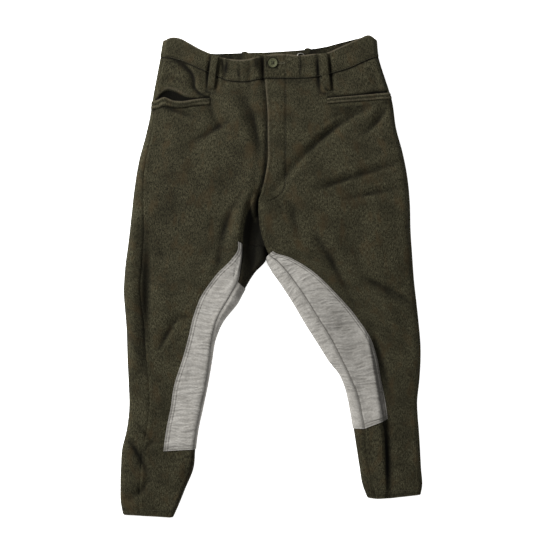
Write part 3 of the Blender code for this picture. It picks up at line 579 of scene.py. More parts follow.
@dataclass
class Ring:
    """One half of the breeches as a single ring of cloth round the body and then the leg."""

    side: Side
    rows: tuple[Row, ...]
    folds: tuple[Fold, ...]
    shades: tuple[Fold, ...]
    closes: str
    patch_start: str
    step: float
    points: Points = field(init=False)
    normals: Points = field(init=False)
    shade: Points = field(init=False)

    def __post_init__(self) -> None:
        """Work out the stations, the points and their directions."""
        self.names = [row.name for row in self.rows]
        path = [((row.edge_x + row.outer_x) / 2, (row.edge_y + row.outer_y) / 2) for row in self.rows]
        steps = [0.0] + [math.dist(a, b) for a, b in zip(path, path[1:])]
        self.knots = np.cumsum(steps)
        numbers: list[float] = []
        for index in range(len(self.rows) - 1):
            parts = max(1, round((self.knots[index + 1] - self.knots[index]) / self.step))
            numbers += [index + part / parts for part in range(parts)]
        self.stations = np.array(numbers + [float(len(self.rows) - 1)])
        whole = np.minimum(self.stations.astype(int), len(self.rows) - 2)
        self.along = self.knots[whole] + (self.stations - whole) * (self.knots[whole + 1] - self.knots[whole])
        self.outer_cells = round(OUTER_SPREAD / self.step)
        self.front_cells = round(FRONT_SPREAD[self.side] / self.step)
        self.inner_cells = round(INNER_SPREAD[self.side] / self.step)
        self.under_cells = round(UNDER_SPREAD / self.step)
        self.turn_cells = 5
        self.wrap_cells = round(WRAP_SPREAD / self.step) if self.side is Side.RIGHT else LEFT_WRAP_CELLS
        self.edge = self.outer_cells
        self.inseam = self.edge + self.front_cells
        self.inner = self.inseam + self.inner_cells
        self.under = self.inner + 1
        self.last = self.inner + 2 * self.turn_cells + self.under_cells + self.wrap_cells
        self.build()

    def station(self, name: str) -> int:
        """Number of the station that stands on a named row."""
        return int(np.argmin(np.abs(self.stations - self.names.index(name))))

    def read(self, column: str) -> Points:
        """A column of the row table at every station."""
        return through(self.knots, [getattr(row, column) for row in self.rows], self.along)

    @property
    def closed(self) -> Points:
        """1 at stations where the ring is shut on the inner side, 0 above the fork."""
        return (self.stations >= self.names.index(self.closes) - 1e-9).astype(float)

    @property
    def shut(self) -> int:
        """First station where the ring is shut on the inner side."""
        return int(np.argmax(self.closed > 0.5))

    def height(self, x: Points, y: Points) -> Points:
        """Height of the upper layer's middle away from its folded sides.

        Args:
            x: places across.
            y: places up the body.

        Returns:
            The heights.
        """
        total = through([-up for up, _ in CROWNS], [height for _, height in CROWNS], -y)
        for fold in self.folds:
            total = total + RELIEF * fold_height(fold, x, y)
        away = y - waist_curve("front_seam", x)
        total = total + BAND_ROLL.at(away) + BAND_GROOVE.at(away)
        calm = smooth_step(*BAND_FADE, y) * (1.0 - BAND_CALM) + BAND_CALM
        total = total + undulation(x, y) * calm
        if self.side is Side.LEFT:
            total = total + self.fly_relief(x, y)
        return total

    @staticmethod
    def fly_relief(x: Points, y: Points) -> Points:
        """Slight step of the fly facing inside its curved stitch line.

        Args:
            x: places across.
            y: places up the body.

        Returns:
            Heights to add.
        """
        away = x - fly_stitch_x(y)
        inside = FLY_STEP * smooth_step(FLY_STEP_REACH, -FLY_STEP_REACH, away)
        return smooth_step(*FLY_FOOT, y) * (inside + FLY_GROOVE.at(away) + FLY_RIM.at(x - left_fly_x(y)))

    def rounding(self) -> Points:
        """How far the inner side is rolled down at each station."""
        above = self.stations - self.names.index("fork_high") + 1
        return np.where(self.closed > 0.5, 1.0, FORK_ROLL[self.side] * np.clip(above, 0.0, 1.0))

    @staticmethod
    def profile(distance: Points, rise: Points) -> Points:
        """Quarter ellipse from a folded side up to the flat.

        Args:
            distance: plan distance from the side.
            rise: height of the flat over the side.

        Returns:
            The share of the rise.
        """
        share = np.clip(distance / np.clip(SIDE_ROUND * rise, *SIDE_LIMITS), 0.0, 1.0)
        return np.sqrt(1.0 - (1.0 - share) ** 2)

    def under_height(self, x: Points, y: Points) -> Points:
        """Height of the under layer's middle over the surface.

        Args:
            x: places across, a row for each station.
            y: places up the body.

        Returns:
            The heights, raised where a rear belt loop lies below.
        """
        banded = self.stations <= self.names.index("seam")
        base = np.where(banded, BAND / 2, CLOTH / 2)[:, None] + np.zeros_like(x)
        away = np.minimum(*[np.abs(x - place) for place in REAR_LOOPS])
        return base + (LOOP_WALL + GAP) * (1.0 - smooth_step(*LOOP_REACH, away)) * smooth_step(*LOOP_FOOT, y)

    def upper(self, x: Points, y: Points, from_outer: Points, from_inner: Points) -> Points:
        """Height of the upper layer with its folded sides and the dip under the fly.

        Args:
            x: places across.
            y: places up the body.
            from_outer: plan distances from the outer side.
            from_inner: plan distances from the inner side.

        Returns:
            Heights of the cloth's middle.
        """
        top = self.height(x, y)
        low = self.under_height(x, y) + FOLD_RISE
        closed = self.closed[:, None]
        if self.side is Side.RIGHT:
            fly = left_fly_x(y)
            dip = DIP * smooth_step(0.0, 1.0, (x - fly + DIP_START) / (DIP_START - DIP_END))
            top = np.where(closed < 0.5, np.maximum(top - dip, DIP_FLOOR), top)
        top = np.maximum(top, low + LEAST_ROOM)
        share = self.profile(from_outer, top - low)
        inner = self.profile(from_inner, top - low)
        return low + (top - low) * share * (1.0 + (inner - 1.0) * self.rounding()[:, None])

    def waist_shift(self, x: Points, y: Points, front: bool) -> Points:
        """Bring the rows near the waist onto the curved waist lines.

        Args:
            x: places across, a row for each station.
            y: plain places up the body.
            front: whether this is the upper layer.

        Returns:
            The places up the body.
        """
        seam = float(self.names.index("seam"))
        row = self.stations[:, None] + np.zeros_like(x)
        if front:
            top, low, reach = waist_curve("front_top", x), waist_curve("front_seam", x), 1.0
        else:
            top = waist_curve("back_top", x)
            low, reach = top - BAND_HEIGHT, 3.0
        entry = self.rows[1]
        across = np.array([entry.outer_x, entry.edge_x, entry.inseam_x, entry.inner_x], dtype=float)
        up = np.array([entry.outer_y, entry.edge_y, entry.inseam_y, entry.inner_y], dtype=float)
        order = np.argsort(across)
        plain = np.interp(x, across[order], up[order])
        blended = y + (1.0 - (row - seam) / reach) * (low - plain)
        shifted = np.where(row >= seam + reach, y, blended)
        return np.where(row <= seam, top + (low - top) * row / seam, shifted)

    def build(self) -> None:
        """Fill the grid of points, directions and painted shade."""
        self.rim = {name: np.stack((self.read(name + "_x"), self.read(name + "_y")), axis=1)
                    for name in ("outer", "edge", "inseam", "inner")}
        outer, edge, inseam, inner = (self.rim[name] for name in ("outer", "edge", "inseam", "inner"))
        outseam = self.read("outseam")
        across = np.linalg.norm(edge - outer, axis=1)
        inner_run = np.linalg.norm(inner - inseam, axis=1)
        closed = self.closed

        share = np.linspace(0.0, 1.0, self.outer_cells + 1)
        distance = outseam[:, None] + (across - outseam)[:, None] * (0.75 * share + 0.25 * share ** 2)
        first = outer[:, None] + (edge - outer)[:, None] * (distance / across[:, None])[..., None]
        from_outer = [distance]
        from_inner = [np.full_like(distance, FAR)]
        places = [first]

        share = np.linspace(0.0, 1.0, self.front_cells + 1)[1:]
        second = edge[:, None] + (inseam - edge)[:, None] * share[None, :, None]
        places.append(second)
        from_outer.append(np.full(second.shape[:2], FAR))
        from_inner.append(np.linalg.norm(second - inseam[:, None], axis=2) + inner_run[:, None])

        share = np.linspace(0.0, 1.0, self.inner_cells + 1)[1:]
        share = share + closed[:, None] * (share * (2.0 - share) - share)
        third = inseam[:, None] + (inner - inseam)[:, None] * share[..., None]
        places.append(third)
        from_outer.append(np.full(third.shape[:2], FAR))
        from_inner.append(inner_run[:, None] * (1.0 - share))

        upper = np.concatenate(places, axis=1)
        self.from_outer = np.concatenate(from_outer, axis=1)
        self.from_inner = np.concatenate(from_inner, axis=1)
        x = upper[..., 0]
        y = self.waist_shift(x, upper[..., 1], front=True)
        z = self.upper(x, y, self.from_outer, self.from_inner)
        if self.side is Side.RIGHT:
            y = y + welt_wave(x, y)
        top = np.stack((x, y, z), axis=2)
        self.points = np.concatenate((top, self.under_points(outer, edge, inner, outseam)), axis=1)
        self.normals = self.make_normals()
        self.seam_relief()

    def under_points(self, outer: Points, edge: Points, inner: Points, outseam: Points) -> Points:
        """Points of the under layer, from the inner side round to the outer seam.

        Args:
            outer: the outer side at each station.
            edge: the patch edge at each station.
            inner: the inner side at each station.
            outseam: the outer seam's distance from the side.

        Returns:
            The block of points.
        """
        closed = self.closed[:, None]
        start_x = seat_seam_x(inner[:, 1]) - self.side.sign * SEAT_GAP
        if self.side is Side.LEFT:
            start_x = start_x + FORK_NOTCH.at(inner[:, 1])
        start = np.where(closed > 0.5, inner, np.stack((start_x, inner[:, 1]), axis=1))
        length = np.linalg.norm(outer - start, axis=1)
        way = (outer - start) / length[:, None]
        first, last = self.names.index(self.patch_start), self.names.index("patch_end")
        patched = ((self.stations >= first - 1e-9) & (self.stations <= last + 1e-9)).astype(float)
        lifted = patched * (PATCH + GAP)
        angles = np.linspace(0.0, math.pi / 2, self.turn_cells + 1)[1:]
        distances, rises, lifts = [], [], []
        for angle in angles:
            distances.append(np.full_like(length, FOLD_RADIUS * (1 - math.cos(angle))))
            rises.append(closed[:, 0] * (1 - math.sin(angle)))
            lifts.append(lifted)
        for index in range(1, self.under_cells + 1):
            share = index / self.under_cells
            distances.append(FOLD_RADIUS + (length - 2 * FOLD_RADIUS) * share)
            rises.append(np.zeros_like(length))
            lifts.append(lifted * float(1.0 - smooth_step(0.52, 0.70, share)))
        for angle in angles[::-1][1:]:
            distances.append(length - FOLD_RADIUS * (1 - math.cos(angle)))
            rises.append(np.full_like(length, 1 - math.sin(angle)))
            lifts.append(np.zeros_like(length))
        distances.append(length)
        rises.append(np.ones_like(length))
        lifts.append(np.zeros_like(length))
        places = start[:, None] + way[:, None] * np.stack(distances, axis=1)[..., None]
        rise = np.stack(rises, axis=1)
        x = places[..., 0]
        y = np.where(rise >= 1.0, self.waist_shift(x, places[..., 1], front=True),
                     self.waist_shift(x, places[..., 1], front=False))
        z = self.under_height(x, y) + np.stack(lifts, axis=1) + rise * FOLD_RISE
        below = np.stack((x, y, z), axis=2)
        across = np.linalg.norm(edge - outer, axis=1)
        share = (np.arange(1, self.wrap_cells + 1) / self.wrap_cells) ** 1.4
        distance = outseam[:, None] * share[None, :]
        wrap = outer[:, None] + (edge - outer)[:, None] * (distance / across[:, None])[..., None]
        x = wrap[..., 0]
        y = self.waist_shift(x, wrap[..., 1], front=True)
        z = self.upper(x, y, distance, np.full_like(distance, FAR))
        return np.concatenate((below, np.stack((x, y, z), axis=2)), axis=1)

    def live(self) -> Points:
        """Which cells of the grid hold cloth.

        Returns:
            True for each cell with cloth.
        """
        rows, columns = self.points.shape[0] - 1, self.points.shape[1] - 1
        live = np.ones((rows, columns), dtype=bool)
        open_rows = np.arange(rows) < self.shut
        live[open_rows, self.inner] = False
        if self.side is Side.LEFT:
            live[open_rows, self.inseam:self.inner] = False
        return live

    def make_normals(self) -> Points:
        """Outward directions of the whole ring, shared by the pieces cut from it.

        Returns:
            A unit direction for each point.
        """
        points = self.points
        diagonal = points[1:, 1:] - points[:-1, :-1]
        other = points[1:, :-1] - points[:-1, 1:]
        cells = np.cross(diagonal, other) * self.side.sign
        size = np.linalg.norm(cells, axis=2, keepdims=True)
        cells = np.where(size > 1e-7, cells / np.maximum(size, 1e-7), 0.0)
        cells = cells * self.live()[..., None]
        sums = np.zeros_like(points)
        sums[:-1, :-1] += cells
        sums[:-1, 1:] += cells
        sums[1:, :-1] += cells
        sums[1:, 1:] += cells
        joined = sums[:, 0] + sums[:, -1]
        sums[:, 0] = joined
        sums[:, -1] = joined
        size = np.linalg.norm(sums, axis=2, keepdims=True)
        return sums / np.maximum(size, 1e-7)

    def seam_relief(self) -> None:
        """Draw the cloth down at its seams and work out the painted shade of each point."""
        columns = np.arange(self.points.shape[1])
        run = np.linalg.norm(np.diff(self.points, axis=1), axis=2)
        run = np.concatenate((np.zeros((len(run), 1)), np.cumsum(run, axis=1)), axis=1)
        drop = np.zeros(self.points.shape[:2])
        for seam in (self.inseam, 0, self.last):
            strength = self.closed[:, None] if seam == self.inseam else 1.0
            away = np.abs(run - run[:, seam:seam + 1])
            drop += strength * (SEAM_ROLL.at(away) + SEAM_GROOVE.at(away))
        calm = (columns <= self.inner) | (columns >= self.under + 2 * self.turn_cells + self.under_cells)
        drop *= calm[None, :]
        self.points = self.points + self.normals * drop[..., None]
        self.shade = self.make_shade()

    def make_shade(self) -> Points:
        """Painted shade of each point: darker in creases and hollows, along the strokes and sewn lines, deep
        in the fork and inside the waist.

        Returns:
            Shades of up to 1, below 0 where a painted highlight with some wear lightens a folded edge.
        """
        height = self.points[..., 2]
        wide = box_blur(height, max(2, round(CREASE_WINDOW / self.step)))
        # Painted shade in creases: darker where the cloth lies below the blurred height round it
        shade = np.clip((wide - height - CREASE_START) / CREASE_DEPTH, 0.0, CREASE_MOST)
        x, y = self.points[..., 0], self.points[..., 1]
        strokes = np.zeros_like(shade)
        for stroke in self.shades:
            strokes = 1.0 - (1.0 - strokes) * (1.0 - fold_height(stroke, x, y))
        columns = np.arange(shade.shape[1])
        upper = ((columns <= self.inner) | (columns > self.last - self.wrap_cells))[None, :]
        shade = np.where(upper, 1.0 - (1.0 - shade) * (1.0 - strokes), shade)
        if self.side is Side.RIGHT:
            shade = np.maximum(shade, self.fork_shade()) * (1.0 - fold_height(FORK_LIT_STRIP, x, y))
        # Painted shade in the groove at the foot of the waistband
        seam = BAND_LINE.at(y - waist_curve("front_seam", x))
        sewn = np.maximum.reduce((shade, seam, self.sewn_shade(x, y)))
        # Painted highlight with some wear on the folded edges
        rubbed_and_lit = sewn - self.wear_and_highlight_edge(x, y) * (1.0 - np.clip(sewn, 0.0, 1.0))
        shade = np.where(upper, rubbed_and_lit, shade)
        # Painted shade inside the waist's mouth, lifted along the gathers by noise
        inside = self.under + 2 * self.turn_cells
        gather = np.array([abs(noise.noise(Vector((value * 0.13, 0.4, 2.2)))) for value in x[0]])
        band = (columns > inside) & (columns < self.last - self.wrap_cells - self.turn_cells)
        mouth = (self.stations <= self.names.index("seam"))[:, None] & band[None, :]
        return np.where(mouth, np.clip(MOUTH_SHADE - MOUTH_GATHER_LIFT * gather, *MOUTH_LIMITS)[None, :], shade)

    def sewn_shade(self, x: Points, y: Points) -> Points:
        """Painted shade in the stitched grooves, the hem's turn, the buttonhole slit and round the button.

        Args:
            x: places across, a row for each station.
            y: places up the body.

        Returns:
            The shades, 0 to 1.
        """
        end = (self.knots[-1] - self.along)[:, None]
        shade = HEM_LINE.at(end) + np.zeros_like(x)
        if self.side is Side.RIGHT:
            return shade
        fly = FLY_LINE.at(x - fly_stitch_x(y))
        for limits in FLY_LINE_ENDS:
            fly = fly * smooth_step(*limits, y)
        slit = SLIT_LINE.at(y)
        for limits in SLIT_ENDS:
            slit = slit * smooth_step(*limits, x)
        button_shadow = smooth_step(*BUTTON_SHADOW_REACH, np.hypot(x - BUTTON_PLACE[0], y - BUTTON_PLACE[1]))
        return np.maximum.reduce((shade + HEM_TURN.at(end), fly, slit, button_shadow * BUTTON_SHADOW))

    def wear_and_highlight_edge(self, x: Points, y: Points) -> Points:
        """Painted highlight, with some wear, on the folded edges at the waist's top, the hem and the fly.

        Args:
            x: places across, a row for each station.
            y: places up the body.

        Returns:
            The shares, 0 to 1.
        """
        wear_and_highlight = TOP_WEAR_AND_HIGHLIGHT.at(waist_curve("front_top", x) - y)
        wear_and_highlight[-1] = np.maximum(wear_and_highlight[-1], HEM_WEAR_AND_HIGHLIGHT)
        if self.side is Side.LEFT:
            wear_and_highlight = np.maximum(wear_and_highlight, FLY_WEAR_AND_HIGHLIGHT.at(x - left_fly_x(y)) * smooth_step(*FLY_WEAR_AND_HIGHLIGHT_ENDS, y))
        return wear_and_highlight

    def fork_shade(self) -> Points:
        """Painted shade of the cloth that lies deep in the fork.

        Returns:
            The shades, 0 to 1.
        """
        knots = [self.names.index(row.row) for row in FORK_SHADES]
        start = np.interp(self.stations, knots, [row.start for row in FORK_SHADES])[:, None]
        strength = np.interp(self.stations, knots, [row.strength for row in FORK_SHADES])[:, None]
        columns = np.arange(self.points.shape[1])
        share = (columns - self.inseam) / (self.inner - self.inseam)
        share = np.where(columns > self.inner + self.turn_cells + 4, -FAR, share)[None, :]
        return strength * smooth_step(0.0, FORK_EASE, share - start)

    def block(self, rows: Sequence[int], columns: Sequence[int], shift: float = 0.0) -> "Block":
        """Copy a block of the ring.

        Args:
            rows: the stations to take.
            columns: the columns to take.
            shift: how far the copy is moved out.

        Returns:
            The block.
        """
        take = np.ix_(list(rows), list(columns))
        points = self.points[take] + self.normals[take] * shift
        return Block(points, self.normals[take].copy(), self.shade[take].copy())


def fly_stitch_x(y: Points) -> Points:
    """Place across of the fly's stitch line, which curves to the fly edge at its foot.

    Args:
        y: heights up the body.

    Returns:
        Places across.
    """
    foot, top = FLY_BEND
    share = np.clip((top - np.asarray(y, dtype=float)) / (top - foot), 0.0, 1.0)
    return FLY_LINE_X - FLY_TURN * (1.0 - np.sqrt(np.clip(1.0 - share ** FLY_ROUND, 0.0, 1.0)))


def box_blur(values: Points, reach: int) -> Points:
    """Mean of a grid over a square window.

    Args:
        values: the grid.
        reach: cells to each side.

    Returns:
        The blurred grid.
    """
    for axis in (0, 1):
        pad = [(0, 0), (0, 0)]
        pad[axis] = (reach + 1, reach)
        total = np.cumsum(np.pad(values, pad, mode="edge"), axis=axis)
        size = values.shape[axis]
        high = np.take(total, np.arange(size) + 2 * reach + 1, axis=axis)
        low = np.take(total, np.arange(size), axis=axis)
        values = (high - low) / (2 * reach + 1)
    return values


def finer_grid(values: Points, factor: int, axis: int) -> Points:
    """Read a grid at more places along an axis, on smooth curves.

    Args:
        values: the grid.
        factor: how many cells each cell becomes.
        axis: the axis.

    Returns:
        The finer grid.
    """
    values = np.moveaxis(values, axis, 0)
    slopes = np.gradient(values, axis=0)
    index = np.arange((len(values) - 1) * factor + 1) / factor
    whole = np.minimum(index.astype(int), len(values) - 2)
    share = (index - whole).reshape(-1, *[1] * (values.ndim - 1))
    result = ((1 + 2 * share) * (1 - share) ** 2 * values[whole]
              + share * share * (3 - 2 * share) * values[whole + 1]
              + share * (1 - share) ** 2 * slopes[whole]
              + share * share * (share - 1) * slopes[whole + 1])
    return np.moveaxis(result, 0, axis)


@dataclass
class Block:
    """A grid of middle points of cloth with their directions and painted shade."""

    points: Points
    normals: Points
    shade: Points

    def finer(self, factor: int) -> "Block":
        """The block with each cell parted both ways.

        Args:
            factor: parts for each side of a cell.

        Returns:
            The finer block.
        """
        points, normals, shade = (finer_grid(finer_grid(values, factor, 0), factor, 1)
                                  for values in (self.points, self.normals, self.shade))
        normals = normals / np.maximum(np.linalg.norm(normals, axis=2, keepdims=True), 1e-6)
        return Block(points, normals, np.clip(shade, -1.0, 1.0))

    def drawn_in(self) -> "Block":
        """The block with its outer border moved in a little from the seam.

        Returns:
            The smaller block.
        """
        points = self.points
        moved = points.copy()
        for border, near in ((np.s_[0], np.s_[1]), (np.s_[-1], np.s_[-2]),
                             (np.s_[:, 0], np.s_[:, 1]), (np.s_[:, -1], np.s_[:, -2])):
            way = points[near] - points[border]
            size = np.maximum(np.linalg.norm(way, axis=-1, keepdims=True), 1e-6)
            moved[border] += way / size * SEAM
        return Block(moved, self.normals, self.shade)

    def run(self) -> tuple[Points, Points]:
        """Length along the cloth, for patterns that follow it.

        Returns:
            The lengths across and down at each point.
        """
        across = np.linalg.norm(np.diff(self.points, axis=1), axis=2)
        down = np.linalg.norm(np.diff(self.points, axis=0), axis=2)
        across = np.concatenate((np.zeros((len(across), 1)), np.cumsum(across, axis=1)), axis=1)
        down = np.concatenate((np.zeros((1, down.shape[1])), np.cumsum(down, axis=0)), axis=0)
        return across, np.mean(down, axis=1, keepdims=True) + np.zeros_like(across)


def new_piece(name: str, vertices: list, faces: list, material: bpy.types.Material) -> bpy.types.Object:
    """Make a smooth piece with its faces outward.

    Args:
        name: the piece's name.
        vertices: its points, in metres.
        faces: its faces, by number of point.
        material: its finish.

    Returns:
        The piece.
    """
    mesh = bpy.data.meshes.new(name)
    mesh.from_pydata(vertices, [], faces)
    shape = bmesh.new()
    shape.from_mesh(mesh)
    bmesh.ops.recalc_face_normals(shape, faces=shape.faces)
    shape.to_mesh(mesh)
    shape.free()
    mesh.materials.append(material)
    mesh.shade_smooth()
    piece = bpy.data.objects.new(name, mesh)
    bpy.context.collection.objects.link(piece)
    return piece


def lay_stitches(name: str, spots: Sequence[Spot], size: tuple[float, float, float],
                 thread: bpy.types.Material, slot: str) -> None:
    """Lay small rounded stitches and join them into one piece.

    Args:
        name: the piece's name.
        spots: middle, run and outward direction of each stitch, in millimetres.
        size: a stitch's length, width and height.
        thread: its material.
        slot: not used.
    """
    bpy.ops.object.select_all(action="DESELECT")
    bpy.ops.mesh.primitive_uv_sphere_add(segments=6, ring_count=4, radius=0.5)
    model = bpy.context.object
    form = np.array([vertex.co[:] for vertex in model.data.vertices]) * (size[1], size[2], size[0])
    faces = [list(polygon.vertices) for polygon in model.data.polygons]
    bpy.data.objects.remove(model, do_unlink=True)
    vertices, polygons = [], []
    for middle, along, normal in spots:
        base = len(vertices)
        axes = np.stack((np.cross(normal, along), normal, along))
        vertices += ((middle - ORIGIN + form @ axes) * MM).tolist()
        polygons += [[index + base for index in face] for face in faces]
    piece = new_piece(name, vertices, polygons, thread)
    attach(piece, "root")
    LOG.info("%s: %d stitches", name, len(spots))


def sheet_mesh(name: str, block: Block, thickness: float, material: bpy.types.Material,
               active: Points | None = None, soft_edge: float = 0.45) -> bpy.types.Object:
    """Give a block its wall as one closed mesh, with a pattern map and its painted shade and highlight.

    Args:
        name: the piece's name.
        block: the middle of the cloth, in millimetres.
        thickness: the wall.
        material: its finish.
        active: which cells hold cloth, or all of them.
        soft_edge: share of the wall that is left at a border, for a rolled edge.

    Returns:
        The piece.
    """
    rows, columns = block.points.shape[:2]
    if active is None:
        active = np.ones((rows - 1, columns - 1), dtype=bool)
    padded = np.pad(active, 1)
    around = (padded[:-1, :-1].astype(int) + padded[:-1, 1:] + padded[1:, :-1] + padded[1:, 1:])
    half = thickness / 2 * np.where(around == 4, 1.0, soft_edge)
    index = np.arange(rows * columns).reshape(rows, columns)
    place = block.points - ORIGIN
    outer = (place + block.normals * half[..., None]).reshape(-1, 3)
    inner = (place - block.normals * half[..., None]).reshape(-1, 3)
    count = rows * columns
    corners = np.stack((index[:-1, :-1], index[:-1, 1:], index[1:, 1:], index[1:, :-1]), axis=2)[active]
    faces = [corners, corners[:, ::-1] + count]
    left = active & ~padded[1:-1, :-2]
    right = active & ~padded[1:-1, 2:]
    above = active & ~padded[:-2, 1:-1]
    below = active & ~padded[2:, 1:-1]
    for mask, first, second in ((above, np.s_[:-1, :-1], np.s_[:-1, 1:]),
                                (right, np.s_[:-1, 1:], np.s_[1:, 1:]),
                                (below, np.s_[1:, 1:], np.s_[1:, :-1]),
                                (left, np.s_[1:, :-1], np.s_[:-1, :-1])):
        a, b = index[first][mask], index[second][mask]
        faces.append(np.stack((b, a, a + count, b + count), axis=1))
    quads = np.concatenate(faces)
    used, packed = np.unique(quads, return_inverse=True)
    packed = packed.reshape(quads.shape)
    vertices = np.concatenate((outer, inner))[used] * MM
    piece = new_piece(name, vertices.tolist(), packed.tolist(), material)
    mesh = piece.data
    across, down = block.run()
    flat = np.stack((across.ravel(), down.ravel()), axis=1) * MM
    layer = mesh.uv_layers.new(name="cloth")
    loops = np.zeros(len(mesh.loops), dtype=np.int32)
    mesh.loops.foreach_get("vertex_index", loops)
    layer.data.foreach_set("uv", flat[used[loops] % count].astype(np.float32).ravel())
    # The painted shade and highlight of each point, which the finishes mix into the colour
    shade = mesh.attributes.new("painted_shade_and_highlight", "FLOAT", "POINT")
    shade.data.foreach_set("value", block.shade.ravel()[used % count].astype(np.float32))
    mesh.set_sharp_from_angle(angle=math.radians(50))
    return piece


class Value:
    """A shader socket that takes part in Python arithmetic."""

    def __init__(self, shader: "Shader", socket: bpy.types.NodeSocket) -> None:
        """Keep the shader and the socket."""
        self.shader = shader
        self.socket = socket

    def _math(self, operation: str, first: object, second: object) -> "Value":
        """Add a Math node.

        Args:
            operation: the node's operation.
            first: its first value or socket.
            second: its second value or socket.

        Returns:
            Its result.
        """
        node = self.shader.node("ShaderNodeMath", {"operation": operation}, {0: first, 1: second})
        return Value(self.shader, node.outputs[0])

    def __add__(self, other: object) -> "Value":
        """Sum."""
        return self._math("ADD", self, other)

    __radd__ = __add__

    def __mul__(self, other: object) -> "Value":
        """Product."""
        return self._math("MULTIPLY", self, other)

    def sine(self) -> "Value":
        """Sine."""
        return self._math("SINE", self, 0.0)

    def clamp(self) -> "Value":
        """The value held between 0 and 1."""
        return self._math("MINIMUM", self._math("MAXIMUM", self, 0.0), 1.0)


class Shader:
    """A material's node tree with the few helpers its finish needs."""

    def __init__(self, name: str) -> None:
        """Make an empty material with a Principled shader.

        Args:
            name: the material's name.
        """
        self.material = bpy.data.materials.new(name)
        self.material.use_nodes = True
        self.tree = self.material.node_tree
        self.surface = self.tree.nodes["Principled BSDF"]

    def node(self, kind: str, settings: dict[str, object], inputs: dict[object, object]) -> bpy.types.Node:
        """Add a node.

        Args:
            kind: the node's type.
            settings: its properties, set first.
            inputs: values, sockets or Values by input name or number.

        Returns:
            The node.
        """
        node = self.tree.nodes.new(kind)
        for key, value in settings.items():
            setattr(node, key, value)
        for key, value in inputs.items():
            self.feed(node.inputs[key], value)
        return node

    def feed(self, target: bpy.types.NodeSocket, value: object) -> None:
        """Set a socket to a plain value or link it.

        Args:
            target: the socket.
            value: a value, a socket or a Value.
        """
        if isinstance(value, Value):
            self.tree.links.new(value.socket, target)
        elif isinstance(value, bpy.types.NodeSocket):
            self.tree.links.new(value, target)
        else:
            target.default_value = value

    def cloth_place(self) -> Value:
        """The piece's own map, in metres along the cloth."""
        return Value(self, self.node("ShaderNodeUVMap", {"uv_map": "cloth"}, {}).outputs[0])

    def attribute(self, name: str) -> Value:
        """A number stored on the mesh."""
        node = self.node("ShaderNodeAttribute", {"attribute_name": name}, {})
        return Value(self, node.outputs["Fac"])

    def stretched(self, place: Value, scale: tuple[float, float, float]) -> Value:
        """A place scaled along each axis."""
        node = self.node("ShaderNodeVectorMath", {"operation": "MULTIPLY"}, {0: place, 1: scale})
        return Value(self, node.outputs[0])

    def part(self, place: Value, axis: str) -> Value:
        """One axis of a place."""
        return Value(self, self.node("ShaderNodeSeparateXYZ", {}, {0: place}).outputs[axis])

    def noise(self, place: Value, scale: float, detail: float = 2.0, roughness: float = 0.5) -> Value:
        """Noise between 0 and 1.

        Args:
            place: where to read it.
            scale: waves in a metre.
            detail: octaves.
            roughness: weight of the finer octaves.

        Returns:
            The noise.
        """
        node = self.node("ShaderNodeTexNoise", {"noise_dimensions": "3D"},
                         {"Vector": place, "Scale": scale, "Detail": detail, "Roughness": roughness})
        return Value(self, node.outputs["Fac"])

    def ramp(self, value: Value, low: float, high: float) -> Value:
        """Stretch a value so that low gives 0 and high gives 1.

        Args:
            value: the value.
            low: what becomes 0.
            high: what becomes 1.

        Returns:
            The stretched value.
        """
        node = self.node("ShaderNodeMapRange", {"clamp": True},
                         {"Value": value, "From Min": low, "From Max": high})
        return Value(self, node.outputs[0])

    def mix(self, share: object, first: object, second: object) -> Value:
        """Blend two colours.

        Args:
            share: how much of the second.
            first: a colour or socket.
            second: a colour or socket.

        Returns:
            The blend.
        """
        node = self.node("ShaderNodeMix", {"data_type": "RGBA"}, {"Factor": share})
        self.feed(node.inputs[6], first)
        self.feed(node.inputs[7], second)
        return Value(self, node.outputs[2])

    def bump(self, height: Value, distance: float, strength: float = 1.0) -> Value:
        """Normal from a height in the given real depth."""
        node = self.node("ShaderNodeBump", {}, {"Height": height, "Distance": distance, "Strength": strength})
        return Value(self, node.outputs[0])

    def finish(self, color: object, roughness: object, normal: Value | None,
               **plain: object) -> bpy.types.Material:
        """Feed the surface.

        Args:
            color: base colour or socket.
            roughness: value or socket.
            normal: bump, or nothing.
            plain: other inputs by name, with _ for a space.

        Returns:
            The material.
        """
        self.feed(self.surface.inputs["Base Color"], color)
        self.feed(self.surface.inputs["Roughness"], roughness)
        if normal is not None:
            self.feed(self.surface.inputs["Normal"], normal)
        for key, value in plain.items():
            self.surface.inputs[key.replace("_", " ")].default_value = value
        return self.material


Color = tuple[float, float, float, float]


